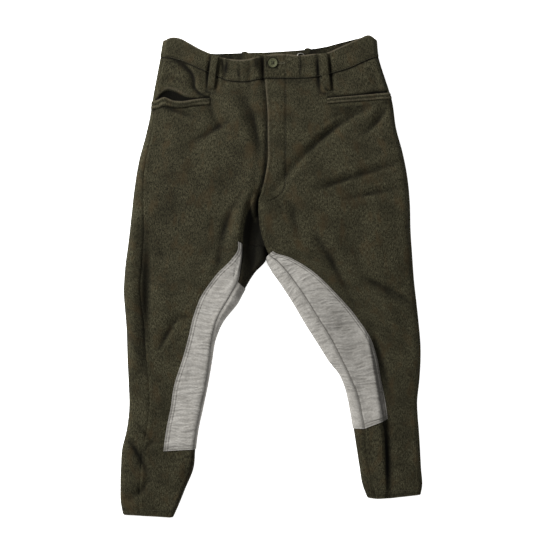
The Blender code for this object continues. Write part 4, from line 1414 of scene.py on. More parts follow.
@dataclass(frozen=True)
class WoolFinish:
    """Dark olive brown wool twill: streaked, speckled and slightly napped."""

    dark: Color = (0.0050, 0.0044, 0.0022, 1.0)
    middle: Color = (0.0185, 0.0165, 0.0088, 1.0)
    light: Color = (0.064, 0.0590, 0.0345, 1.0)
    brown: Color = (0.033, 0.0225, 0.0105, 1.0)
    shadow: Color = (0.0014, 0.0013, 0.0009, 1.0)
    wear_and_highlight: Color = (0.098, 0.082, 0.058, 1.0)
    rib: float = 0.0028

    def material(self) -> bpy.types.Material:
        """Build the material.

        Returns:
            The material.
        """
        shader = Shader("wool_twill")
        place = shader.cloth_place()
        streak = shader.noise(shader.stretched(place, (1.0, 0.36, 1.0)), 500.0, 2.0, 0.6)
        speckle = shader.noise(shader.stretched(place, (1.0, 0.7, 1.0)), 720.0, 1.0, 0.5)
        blotch = shader.noise(place, 22.0, 3.0, 0.6)
        warm = shader.noise(shader.stretched(place, (1.0, 0.5, 1.0)), 46.0, 2.0, 0.6)
        across, down = shader.part(place, "X"), shader.part(place, "Y")
        rib = ((across * 0.88 + down * 0.47) * (2.0 * math.pi / self.rib)).sine() * 0.5 + 0.5
        grain = shader.ramp(streak * 0.55 + speckle * 0.45, 0.40, 0.66)
        color = shader.mix(grain, self.dark, self.light)
        color = shader.mix(0.16, color, self.middle)
        color = shader.mix(shader.ramp(warm, 0.52, 0.70) * 0.6, color, self.brown)
        color = shader.mix(shader.ramp(blotch, 0.42, 0.64) * 0.42, color, self.dark)
        color = shader.mix(rib * 0.2, color, self.dark)
        # Painted shade darkens the colour toward the shadow colour; below 0 the same attribute paints a
        # highlight with some wear on folded edges
        painted_shade_and_highlight = shader.attribute("painted_shade_and_highlight")
        color = shader.mix((painted_shade_and_highlight * 0.96).clamp(), color, self.shadow)
        color = shader.mix((painted_shade_and_highlight * -1.0).clamp(), color, self.wear_and_highlight)
        height = rib * 0.3 + streak * 0.45 + speckle * 0.25
        roughness = 0.85 + streak * 0.12
        return shader.finish(color, roughness, shader.bump(height, 0.0007, 0.8),
                             Sheen_Weight=0.03, Sheen_Roughness=0.5, Sheen_Tint=(0.62, 0.58, 0.46, 1.0),
                             Specular_IOR_Level=0.05)


@dataclass(frozen=True)
class PatchFinish:
    """Pale grey corded cotton of the inner leg patches."""

    dark: Color = (0.150, 0.141, 0.124, 1.0)
    light: Color = (0.314, 0.303, 0.280, 1.0)
    shadow: Color = (0.030, 0.027, 0.022, 1.0)
    cord: float = 0.0021

    def material(self) -> bpy.types.Material:
        """Build the material.

        Returns:
            The material.
        """
        shader = Shader("corded_cotton")
        place = shader.cloth_place()
        across, down = shader.part(place, "X"), shader.part(place, "Y")
        cord = ((across * 0.35 + down * 0.94) * (2.0 * math.pi / self.cord)).sine() * 0.5 + 0.5
        slub = shader.noise(shader.stretched(place, (0.5, 1.0, 1.0)), 520.0, 3.0, 0.6)
        cloud = shader.noise(place, 40.0, 3.0, 0.6)
        tone = shader.ramp(slub * 0.6 + cloud * 0.4, 0.30, 0.68)
        color = shader.mix(tone, self.dark, self.light)
        color = shader.mix(cord * 0.16, color, self.dark)
        # Painted shade darkens the patch toward the shadow colour
        painted_shade_and_highlight = shader.attribute("painted_shade_and_highlight")
        color = shader.mix((painted_shade_and_highlight * 0.8).clamp(), color, self.shadow)
        height = cord * 0.5 + slub * 0.5
        return shader.finish(color, 0.86, shader.bump(height, 0.0006, 0.6),
                             Sheen_Weight=0.1, Sheen_Roughness=0.5, Specular_IOR_Level=0.25)


@dataclass(frozen=True)
class ThreadFinish:
    """Twisted sewing thread."""

    name: str
    dark: Color
    light: Color

    def material(self) -> bpy.types.Material:
        """Build the material.

        Returns:
            The material.
        """
        shader = Shader(self.name)
        place = Value(shader, shader.node("ShaderNodeTexCoord", {}, {}).outputs["Object"])
        tone = shader.ramp(shader.noise(place, 900.0, 1.0, 0.5), 0.35, 0.65)
        color = shader.mix(tone, self.dark, self.light)
        return shader.finish(color, 0.7, shader.bump(tone, 0.0002, 0.5), Sheen_Weight=0.05,
                             Specular_IOR_Level=0.08)


@dataclass(frozen=True)
class ButtonFinish:
    """Olive moulded button with a faint marbled grain."""

    dark: Color = (0.028, 0.029, 0.014, 1.0)
    light: Color = (0.066, 0.068, 0.036, 1.0)

    def material(self) -> bpy.types.Material:
        """Build the material.

        Returns:
            The material.
        """
        shader = Shader("moulded_button")
        place = Value(shader, shader.node("ShaderNodeTexCoord", {}, {}).outputs["Object"])
        marble = shader.noise(place, 320.0, 3.0, 0.55)
        fine = shader.noise(place, 2400.0, 1.0, 0.5)
        color = shader.mix(shader.ramp(marble, 0.35, 0.68), self.dark, self.light)
        roughness = 0.62 + fine * 0.16
        return shader.finish(color, roughness, shader.bump(fine, 0.00006, 0.5), Specular_IOR_Level=0.12)


@dataclass(frozen=True)
class WireFinish:
    """Dulled pale metal wire."""

    dark: Color = (0.11, 0.105, 0.09, 1.0)
    light: Color = (0.27, 0.26, 0.23, 1.0)

    def material(self) -> bpy.types.Material:
        """Build the material.

        Returns:
            The material.
        """
        shader = Shader("dulled_wire")
        place = Value(shader, shader.node("ShaderNodeTexCoord", {}, {}).outputs["Object"])
        wear = shader.noise(place, 700.0, 3.0, 0.6)
        color = shader.mix(shader.ramp(wear, 0.35, 0.65), self.dark, self.light)
        return shader.finish(color, 0.28 + wear * 0.25, shader.bump(wear, 0.00005, 0.4), Metallic=0.9)


@dataclass(frozen=True)
class Finishes:
    """Every finish of the breeches, made once."""

    wool: bpy.types.Material
    patch: bpy.types.Material
    thread: bpy.types.Material
    patch_thread: bpy.types.Material
    button_thread: bpy.types.Material
    button: bpy.types.Material
    wire: bpy.types.Material

    @classmethod
    def make(cls) -> "Finishes":
        """Build the materials.

        Returns:
            The set of materials.
        """
        return cls(
            wool=WoolFinish().material(),
            patch=PatchFinish().material(),
            thread=ThreadFinish("olive_thread", (0.030, 0.027, 0.016, 1.0),
                                (0.085, 0.080, 0.052, 1.0)).material(),
            patch_thread=ThreadFinish("drab_thread", (0.030, 0.027, 0.020, 1.0),
                                      (0.085, 0.078, 0.060, 1.0)).material(),
            button_thread=ThreadFinish("dark_thread", (0.006, 0.006, 0.004, 1.0),
                                       (0.020, 0.019, 0.012, 1.0)).material(),
            button=ButtonFinish().material(),
            wire=WireFinish().material(),
        )


def flat_area(block: Block, active: Points | None = None) -> tuple[float, float, float]:
    """Cut size of a block of cloth.

    Args:
        block: the cloth, in millimetres.
        active: which cells hold cloth, or all.

    Returns:
        Width, length and area of the flat piece in metres.
    """
    points = block.points
    cells = np.linalg.norm(np.cross(points[1:, 1:] - points[:-1, :-1],
                                    points[1:, :-1] - points[:-1, 1:]), axis=2) / 2
    across = np.linalg.norm(np.diff(points, axis=1), axis=2)
    down = np.linalg.norm(np.diff(points, axis=0), axis=2)
    if active is not None:
        cells = cells * active
        across = across[:-1] * active
        down = down[:, :-1] * active
    width, length = across.sum(axis=1).max() * MM, down.sum(axis=0).max() * MM
    return float(width), float(length), float(cells.sum()) * MM * MM


def lay_cloth(node: str, block: Block, wall: float, material: bpy.types.Material,
              active: Points | None = None,
              soft_edge: float = 0.45) -> None:
    """Make the cloth that stands for a solid and state its cut.

    Args:
        node: the solid that it replaces.
        block: the middle of the cloth, in millimetres.
        wall: its thickness.
        material: its finish.
        active: which cells hold cloth, or all of them.
        soft_edge: share of the wall that is left at a border.
    """
    piece = sheet_mesh("cloth_" + node, block, wall, material, active, soft_edge)
    width, length, area = flat_area(block, active)
    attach(piece, "root")
    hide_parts(node)
    share = min(area, width * length)
    LOG.info("%s: %d faces, cut %.3f x %.3f m", piece.name, len(piece.data.polygons), width, length)


@dataclass
class Half:
    """The panels, pocket, band and patches of one half."""

    ring: Ring
    finishes: Finishes
    welt_roll: float = 1.3
    welt_groove: Bead = Bead(1.0, 0.48, 0.11)
    welt_depth: float = 0.9
    welt_groove_shade: float = 0.6
    welt_roll_highlights: tuple[Bead, Bead] = (Bead(0.22, 0.12, 0.12), Bead(0.22, 0.72, 0.14))
    knob: Bead = Bead(1.0, 0.0, 5.0)
    knob_rise: float = 0.8
    mouth_room: float = 1.2
    mouth_sink: Bead = Bead(2.7, 0.0, 2.2)
    mouth_lip: Bead = Bead(0.17, 8.5, 4.5)
    mouth_pull: Bead = Bead(1.0, 0.0, 20.0)
    mouth_edge_shade: Bead = Bead(0.95, 0.0, 1.4)
    mouth_rim_highlight: Bead = Bead(0.02, 5.5, 3.2)
    tuck_depth: float = 3.8
    tuck_reach: float = 2.0
    patch_turn: float = 38.0

    @property
    def tag(self) -> str:
        """The side's name, as the nodes end with."""
        return self.ring.side.value

    @property
    def knob_reach(self) -> float:
        """How far the welt's outer end stands out to the side."""
        return -5.0 if self.ring.side is Side.RIGHT else 2.4

    @property
    def gape(self) -> Bead:
        """How far the pocket's mouth gapes, by place across."""
        return Bead(14.0, -178.0, 22.0) if self.ring.side is Side.RIGHT else Bead(2.2, 190.0, 20.0)

    def build(self) -> None:
        """Make every piece of the half."""
        self.front()
        self.back()
        self.welt()
        self.hip_piece()
        self.band()
        self.patches()

    def front(self) -> None:
        """The front panel below the waistband and round the pocket."""
        ring = self.ring
        seam, welt, end = ring.station("seam"), ring.station("welt"), len(ring.stations) - 1
        last = ring.inner if ring.side is Side.RIGHT else ring.inseam
        active = np.ones((end - seam, last), dtype=bool)
        active[:welt - seam, :ring.edge] = False
        if ring.side is Side.RIGHT:
            active[ring.shut - seam:, ring.inseam:] = False
        block = self.part_seams(ring.block(range(seam, end + 1), range(last + 1)), active)
        lay_cloth("front_" + self.tag, block, CLOTH, self.finishes.wool, active=active)

    def back(self) -> None:
        """The back panel, under the front and turned up over the inner leg."""
        ring = self.ring
        seam, end = ring.station("seam"), len(ring.stations) - 1
        active = np.ones((end - seam, ring.last - ring.inseam), dtype=bool)
        active[:ring.shut - seam, :ring.under - ring.inseam] = False
        block = self.part_seams(ring.block(range(seam, end + 1), range(ring.inseam, ring.last + 1)), active)
        lay_cloth("back_" + self.tag, block, CLOTH, self.finishes.wool, active=active)

    @staticmethod
    def part_seams(block: Block, active: Points) -> Block:
        """Move the border of the live cells in a little from the seam.

        Args:
            block: the cloth.
            active: which cells hold cloth.

        Returns:
            The parted block.
        """
        live = np.pad(active, 1)
        above, below = live[:-1, :-1] | live[:-1, 1:], live[1:, 1:] | live[1:, :-1]
        before, after = live[:-1, :-1] | live[1:, :-1], live[:-1, 1:] | live[1:, 1:]
        moved = block.points.copy()
        for axis, turn, inward, outward in ((0, 1, above, below), (0, -1, below, above),
                                            (1, 1, before, after), (1, -1, after, before)):
            way = np.roll(block.points, turn, axis=axis) - block.points
            size = np.maximum(np.linalg.norm(way, axis=2, keepdims=True), 1e-6)
            moved += np.where((inward & ~outward)[..., None], way / size * SEAM, 0.0)
        return Block(moved, block.normals, block.shade)

    def welt(self) -> None:
        """The folded welt, with two rolls and a knob at its outer end."""
        ring = self.ring
        rows = range(ring.station("mouth"), ring.station("welt") + 1)
        block = ring.block(rows, range(ring.edge + 1), (WELT - CLOTH) / 2).drawn_in().finer(2)
        share = np.linspace(0.0, 1.0, len(block.points))
        groove = self.welt_groove.at(share)
        swell = np.sin(np.pi * share) ** 0.6 * self.welt_roll - groove * self.welt_depth
        knob = self.knob.at(np.linalg.norm(block.points - block.points[:, :1], axis=2))
        block.points += block.normals * (swell[:, None] + self.knob_rise * knob)[..., None]
        block.points[..., 0] += knob * self.knob_reach
        # Painted shade in the groove between the rolls and a painted highlight on each roll
        rubbed_and_lit = sum(rub.at(share) for rub in self.welt_roll_highlights)
        block.shade = np.maximum(block.shade, groove[:, None] * self.welt_groove_shade) - rubbed_and_lit[:, None]
        lay_cloth("pocket_welt_" + self.tag, block, WELT, self.finishes.wool,
                  soft_edge=0.6)

    def hip_piece(self) -> None:
        """The piece above the pocket's mouth, which gapes and is tucked under the welt."""
        ring = self.ring
        stations = [*range(ring.station("seam"), ring.station("mouth") + 1), ring.station("welt")]
        block = ring.block(stations, range(ring.edge + 1)).drawn_in()
        gape = self.mouth_room + self.gape.at(block.points[-2][:, :1])
        up = block.points[-3] - block.points[-2]
        up /= np.maximum(np.linalg.norm(up, axis=1, keepdims=True), 1e-6)
        away = np.linalg.norm(block.points - block.points[-2], axis=2)
        sink = self.mouth_sink.at(away) - self.mouth_lip.at(away) * gape.T
        sink[-1] = self.tuck_depth
        sink[-2] = self.mouth_sink.height
        pull = self.mouth_pull.at(away)
        pull[-1] = self.tuck_reach / np.maximum(gape[:, 0], 0.1)
        block.points += up[None] * (pull * gape[:, 0])[..., None] - block.normals * sink[..., None]
        # Painted shade at the mouth's edge, a painted highlight on the rim above it, and full painted shade
        # on the tucked rows inside the pocket
        block.shade = np.maximum(block.shade, self.mouth_edge_shade.at(away)) - self.mouth_rim_highlight.at(away) * gape.T
        block.shade[-2:] = 1.0
        lay_cloth("hip_piece_" + self.tag, block, CLOTH, self.finishes.wool)

    def band(self) -> None:
        """The waistband, from the centre back round the side to the front."""
        ring = self.ring
        rows = range(ring.station("top"), ring.station("seam") + 1)
        front = ring.inner if ring.side is Side.RIGHT else tab_column(ring)
        block = ring.block(rows, [*range(ring.under, ring.last + 1), *range(1, front + 1)]).drawn_in()
        lay_cloth("waistband_" + self.tag, block, BAND, self.finishes.wool, soft_edge=0.6)
        if ring.side is Side.LEFT:
            block = ring.block(rows, range(front, ring.inseam + 1)).drawn_in()
            lay_cloth("waist_tab", block, BAND, self.finishes.wool, soft_edge=0.6)

    def patches(self) -> None:
        """The puckered pale patches on the inner leg."""
        ring = self.ring
        end = ring.station("patch_end")
        shift = CLOTH / 2 + GAP + PATCH / 2
        for kind, start, columns in (("front", ring.shut, range(ring.edge, ring.inseam + 1)),
                                     ("back", ring.station(ring.patch_start), self.back_patch_columns())):
            block = ring.block(range(start, end + 1), columns, shift).drawn_in()
            block = pucker(block.finer(2), kind == "back", ring.side)
            lay_cloth(f"patch_{kind}_{self.tag}", block, PATCH, self.finishes.patch)

    def back_patch_columns(self) -> range:
        """Columns of the back part of the patch, which turns under the leg.

        Returns:
            The columns.
        """
        ring = self.ring
        middle = ring.station("knee_a")
        start = ring.points[middle, ring.under + ring.turn_cells - 1]
        column = ring.under + ring.turn_cells
        while np.linalg.norm(ring.points[middle, column] - start) < self.patch_turn:
            column += 1
        return range(ring.inseam, column + 1)


def tab_column(ring: Ring) -> int:
    """Column where the buttoned tab is sewn to the left waistband."""
    return ring.edge + round(0.4 * ring.front_cells)


def pucker(block: Block, under: bool, side: Side) -> Block:
    """Raise the fine cross puckers of a patch that is sewn down along its sides.

    Args:
        block: the patch.
        under: whether it turns under the leg, where it lies flat on the surface.
        side: the wearer's side.

    Returns:
        The puckered patch.
    """
    across, down = block.run()
    seed = PUCKER_SEED[side]
    height = np.zeros_like(across)
    for index in np.ndindex(across.shape):
        x, y = across[index], down[index]
        bent = y + noise.noise(Vector((x * 0.03, y * 0.02, seed + 8.0))) * 7.0
        wave = noise.noise(Vector((x * 0.026, bent * 0.17, seed)))
        fine = noise.noise(Vector((x * 0.07, bent * 0.40, seed + 4.0)))
        height[index] = (0.5 - 2.2 * abs(wave)) * 0.95 + fine * 0.7
    edge = np.minimum(across, across[:, -1:] - across)
    foot = down[-1:, :] - down
    held = np.clip(edge / 5.0, 0.25, 1.0) * np.clip(np.minimum(down, foot) / 8.0, 0.1, 1.0)
    height = height * held + PUCKER_HEIGHT
    if under:
        height = height * np.clip(block.normals[..., 2] * 1.4, 0.0, 1.0)
    groove = PATCH_EDGE.at(edge) * (0.5 if under else 0.9)
    for place in PATCH_ROWS:
        groove += PATCH_ROW.at(foot - place)
        if not under:
            groove += PATCH_ROW.at(across - place)
    groove = np.clip(groove, 0.0, 1.0)
    height = np.maximum(height - PUCKER_GROOVE * groove, PUCKER_FLOOR)
    points = block.points + block.normals * height[..., None]
    # Painted shade in the puckers' hollows and sewn grooves, and on the left front patch along its inseam
    # edge
    shade = block.shade + np.clip(PUCKER_HEIGHT - height, 0.0, 1.0) * 0.6 + groove * 0.68
    if not under and side is Side.LEFT:
        shade = shade + Bead(1.0, 0.0, 1.0).at(across[:, -1:] - across)
    return Block(points, block.normals, np.clip(shade, 0.0, 1.0))


@dataclass
class Loops:
    """The four belt loops."""

    rings: dict[Side, Ring]
    finishes: Finishes
    front_drop: float = 27.0
    swell: float = 2.8
    crown: float = 0.3
    corner: float = 2.0
    corner_reach: float = 5.0

    def build(self) -> None:
        """Make the loops."""
        for side, ring in self.rings.items():
            self.front(ring)
            self.rear(side)

    def front(self, ring: Ring) -> None:
        """A loop over the front of the waistband.

        Args:
            ring: the half that it is sewn to.
        """
        top, seam, mouth = (ring.station(row) for row in ("top", "seam", "mouth"))
        centre = ring.points[top:mouth + 1, ring.edge]
        run = np.concatenate(([0.0], np.cumsum(np.linalg.norm(np.diff(centre, axis=0), axis=1))))
        length = run[seam - top] + self.front_drop
        stops = np.linspace(0.0, length, 28)
        middle = np.stack([np.interp(stops, run, centre[:, axis]) for axis in range(3)], axis=1)
        near = ring.points[top:mouth + 1, ring.edge + 1] - centre
        near /= np.linalg.norm(near, axis=1, keepdims=True)
        across = np.stack([np.interp(stops, run, near[:, axis]) for axis in range(3)], axis=1)
        lift = BAND / 2 + GAP + LOOP_WALL / 2 + self.swell * np.sin(np.pi * stops / length) ** 0.5
        offsets = np.linspace(-LOOP_WIDTH / 2, LOOP_WIDTH / 2, 9)
        points = middle[:, None] + across[:, None] * offsets[None, :, None]
        points[..., 2] += lift[:, None] + self.crown * (1.0 - (offsets / (LOOP_WIDTH / 2)) ** 2)[None, :]
        tag = ring.side.value
        self.strip("belt_loop_front_" + tag, points, 0.5)

    def rear(self, side: Side) -> None:
        """A loop under the back of the waistband.

        Args:
            side: the wearer's side.
        """
        x = REAR_LOOPS[0] if side is Side.RIGHT else REAR_LOOPS[1]
        top = float(waist_curve("back_top", np.array(x))) + REAR_LOOP_RISE
        drops = np.linspace(0.0, REAR_LOOP_LENGTH, 24)[:, None]
        offsets = np.linspace(-LOOP_WIDTH / 2, LOOP_WIDTH / 2, 7)[None, :]
        rounded = self.corner * (offsets / (LOOP_WIDTH / 2)) ** 2 * np.exp(-(drops / self.corner_reach) ** 2)
        points = np.stack(np.broadcast_arrays(x + offsets, top - drops - rounded, LOOP_WALL / 2), axis=2)
        self.strip("belt_loop_rear_" + side.value, points, 0.6)

    def strip(self, node: str, points: Points, soft_edge: float) -> None:
        """Lay a loop of cloth that faces up.

        Args:
            node: the solid that it replaces.
            points: the middle of the cloth.
            soft_edge: share of the wall that is left at a border.
        """
        normals = np.zeros_like(points) + UP
        block = Block(points, normals, np.zeros(points.shape[:2]))
        lay_cloth(node, block, LOOP_WALL, self.finishes.wool, soft_edge=soft_edge)


@dataclass
class Stitching:
    """Every visible sewn line, as small joined stitches."""

    rings: dict[Side, Ring]
    finishes: Finishes
    pitch: float = 3.0
    stitch: tuple[float, float, float] = (2.3, 0.55, 0.4)
    proud: float = 0.1
    tack: float = 10.0
    tack_lift: float = 4.2

    def build(self) -> None:
        """Sew the pieces."""
        for side, ring in self.rings.items():
            wool = [*self.band_lines(ring), *self.pocket_lines(ring), *self.hem_lines(ring),
                    *self.loop_lines(ring)]
            if side is Side.LEFT:
                wool += self.fly_lines(ring)
            for slot, sewn, thread in (("wool", wool, self.finishes.thread),
                                       ("patch", self.patch_lines(ring), self.finishes.patch_thread)):
                spots = [spot for line in sewn for spot in self.spots(*line)]
                lay_stitches(f"stitches_{slot}_{side.value}", spots, self.stitch, thread, slot)

    def spots(self, path: Points, out: Points) -> Iterable[Spot]:
        """Places of the stitches along one line.

        Args:
            path: points of the line.
            out: directions away from the cloth.

        Yields:
            Middle, run and outward direction of each stitch.
        """
        run = np.concatenate(([0.0], np.cumsum(np.linalg.norm(np.diff(path, axis=0), axis=1))))
        count = int(run[-1] / self.pitch)
        for index in range(count):
            at = (index + 0.5) * run[-1] / count
            ends = [np.array([np.interp(at + shift, run, path[:, axis]) for axis in range(3)])
                    for shift in (-1.0, 1.0)]
            along = ends[1] - ends[0]
            size = np.linalg.norm(along)
            if size < 1e-6:
                continue
            along /= size
            normal = np.array([np.interp(at, run, out[:, axis]) for axis in range(3)])
            normal -= along * float(normal @ along)
            normal /= max(np.linalg.norm(normal), 1e-6)
            yield (ends[0] + ends[1]) / 2, along, normal

    def offset_line(self, ring: Ring, rows: Sequence[int], column: int, offset: float,
                    lift: float, step: int = 1) -> Line:
        """A line beside a column of the ring.

        Args:
            ring: the half.
            rows: stations that it passes.
            column: the column it runs beside.
            offset: distance from the column in millimetres.
            lift: height over the cloth's middle.
            step: 1 toward rising columns, -1 toward falling ones.

        Returns:
            The path and its directions.
        """
        path, out = [], []
        for row in rows:
            place, distance = column, 0.0
            while 0 < place + step < ring.points.shape[1]:
                size = float(np.linalg.norm(ring.points[row, place + step] - ring.points[row, place]))
                if distance + size >= offset:
                    break
                distance += size
                place += step
            share = (offset - distance) / max(size, 1e-6)
            point = ring.points[row, place] * (1 - share) + ring.points[row, place + step] * share
            normal = ring.normals[row, place] * (1 - share) + ring.normals[row, place + step] * share
            normal /= max(np.linalg.norm(normal), 1e-6)
            path.append(point + normal * lift)
            out.append(normal)
        return np.array(path), np.array(out)

    def row_line(self, ring: Ring, row: float, columns: Sequence[int], lift: float) -> Line:
        """A line along a station of the ring.

        Args:
            ring: the half.
            row: station, whole or between.
            columns: columns that it passes.
            lift: height over the cloth's middle.

        Returns:
            The path and its directions.
        """
        whole = int(row)
        share = row - whole
        columns = list(columns)
        nearby = min(whole + 1, len(ring.points) - 1)
        point = ring.points[whole, columns] * (1 - share) + ring.points[nearby, columns] * share
        normal = ring.normals[whole, columns]
        return point + normal * lift, normal

    def patch_lines(self, ring: Ring) -> list[Line]:
        """Double rows along the patch's edges and the inseam.

        Args:
            ring: the half.

        Returns:
            The lines.
        """
        lift = CLOTH / 2 + GAP + PATCH + 0.15
        start, end = ring.shut + max(2, round(22 / ring.step)), ring.station("patch_end")
        rows = range(start, end)
        lines = [self.offset_line(ring, rows, ring.edge, offset, lift) for offset in PATCH_ROWS]
        lines.append(self.offset_line(ring, rows, ring.inseam, 2.6, lift, -1))
        for drop, inset in ((0.55, 0), (1.7, 1)):
            columns = range(ring.edge + 1 + inset, ring.inseam - inset)
            lines.append(self.row_line(ring, end - drop * self.pitch / ring.step, columns, lift))
        return lines

    def band_lines(self, ring: Ring) -> list[Line]:
        """Rows along the top and the foot of the waistband.

        Args:
            ring: the half.

        Returns:
            The lines.
        """
        top, seam = ring.station("top"), ring.station("seam")
        columns = range(2, ring.inseam if ring.side is Side.LEFT else ring.inner - 4)
        per_row = (seam - top) / BAND_HEIGHT
        return [self.row_line(ring, row, columns, BAND / 2 + self.proud)
                for row in (top + 2.2 * per_row, seam - 2.0 * per_row)]

    def pocket_lines(self, ring: Ring) -> list[Line]:
        """A row at the foot of the welt and one beside the pocket's upright seam.

        Args:
            ring: the half.

        Returns:
            The lines.
        """
        mouth, welt, seam = ring.station("mouth"), ring.station("welt"), ring.station("seam")
        return [self.row_line(ring, welt - 0.8, range(3, ring.edge - 1), WELT - CLOTH / 2 + 0.35),
                self.offset_line(ring, range(seam + 6, mouth), ring.edge, 2.0, CLOTH / 2 + self.proud)]

    def hem_lines(self, ring: Ring) -> list[Line]:
        """A row above each hem."""
        row = len(ring.stations) - 1 - HEM_LINE.centre / ring.step
        return [self.row_line(ring, row, range(2, ring.inseam), CLOTH / 2 + self.proud)]

    def loop_lines(self, ring: Ring) -> list[Line]:
        """Bar tacks across both ends of a front loop.

        Args:
            ring: the half.

        Returns:
            The lines.
        """
        lines = []
        for row in (ring.station("top") + 1, ring.station("seam") + round(24 / ring.step)):
            middle = ring.points[row, ring.edge]
            way = ring.points[row, ring.edge + 1] - middle
            way /= np.linalg.norm(way)
            ends = np.array([middle - way * self.tack / 2, middle + way * self.tack / 2])
            lines.append((ends + UP * self.tack_lift, np.array([UP, UP])))
        return lines

    def fly_lines(self, ring: Ring) -> list[Line]:
        """The curved fly stitch, the fly's edge row and the rows round the tab.

        Args:
            ring: the half.

        Returns:
            The lines.
        """
        ys = np.concatenate((np.linspace(355.0, 174.0, 60), np.linspace(172.0, 136.5, 40)))
        xs = fly_stitch_x(ys)
        fly = np.stack((xs, ys, ring.height(xs, ys) + CLOTH / 2 + self.proud), axis=1)
        rows = range(ring.station("top") + 1, ring.station("seam"))
        lift = BAND / 2 + self.proud
        return [(fly, np.zeros_like(fly) + UP),
                self.offset_line(ring, rows, ring.inseam, 2.2, lift, -1),
                self.offset_line(ring, rows, tab_column(ring), 2.0, lift)]


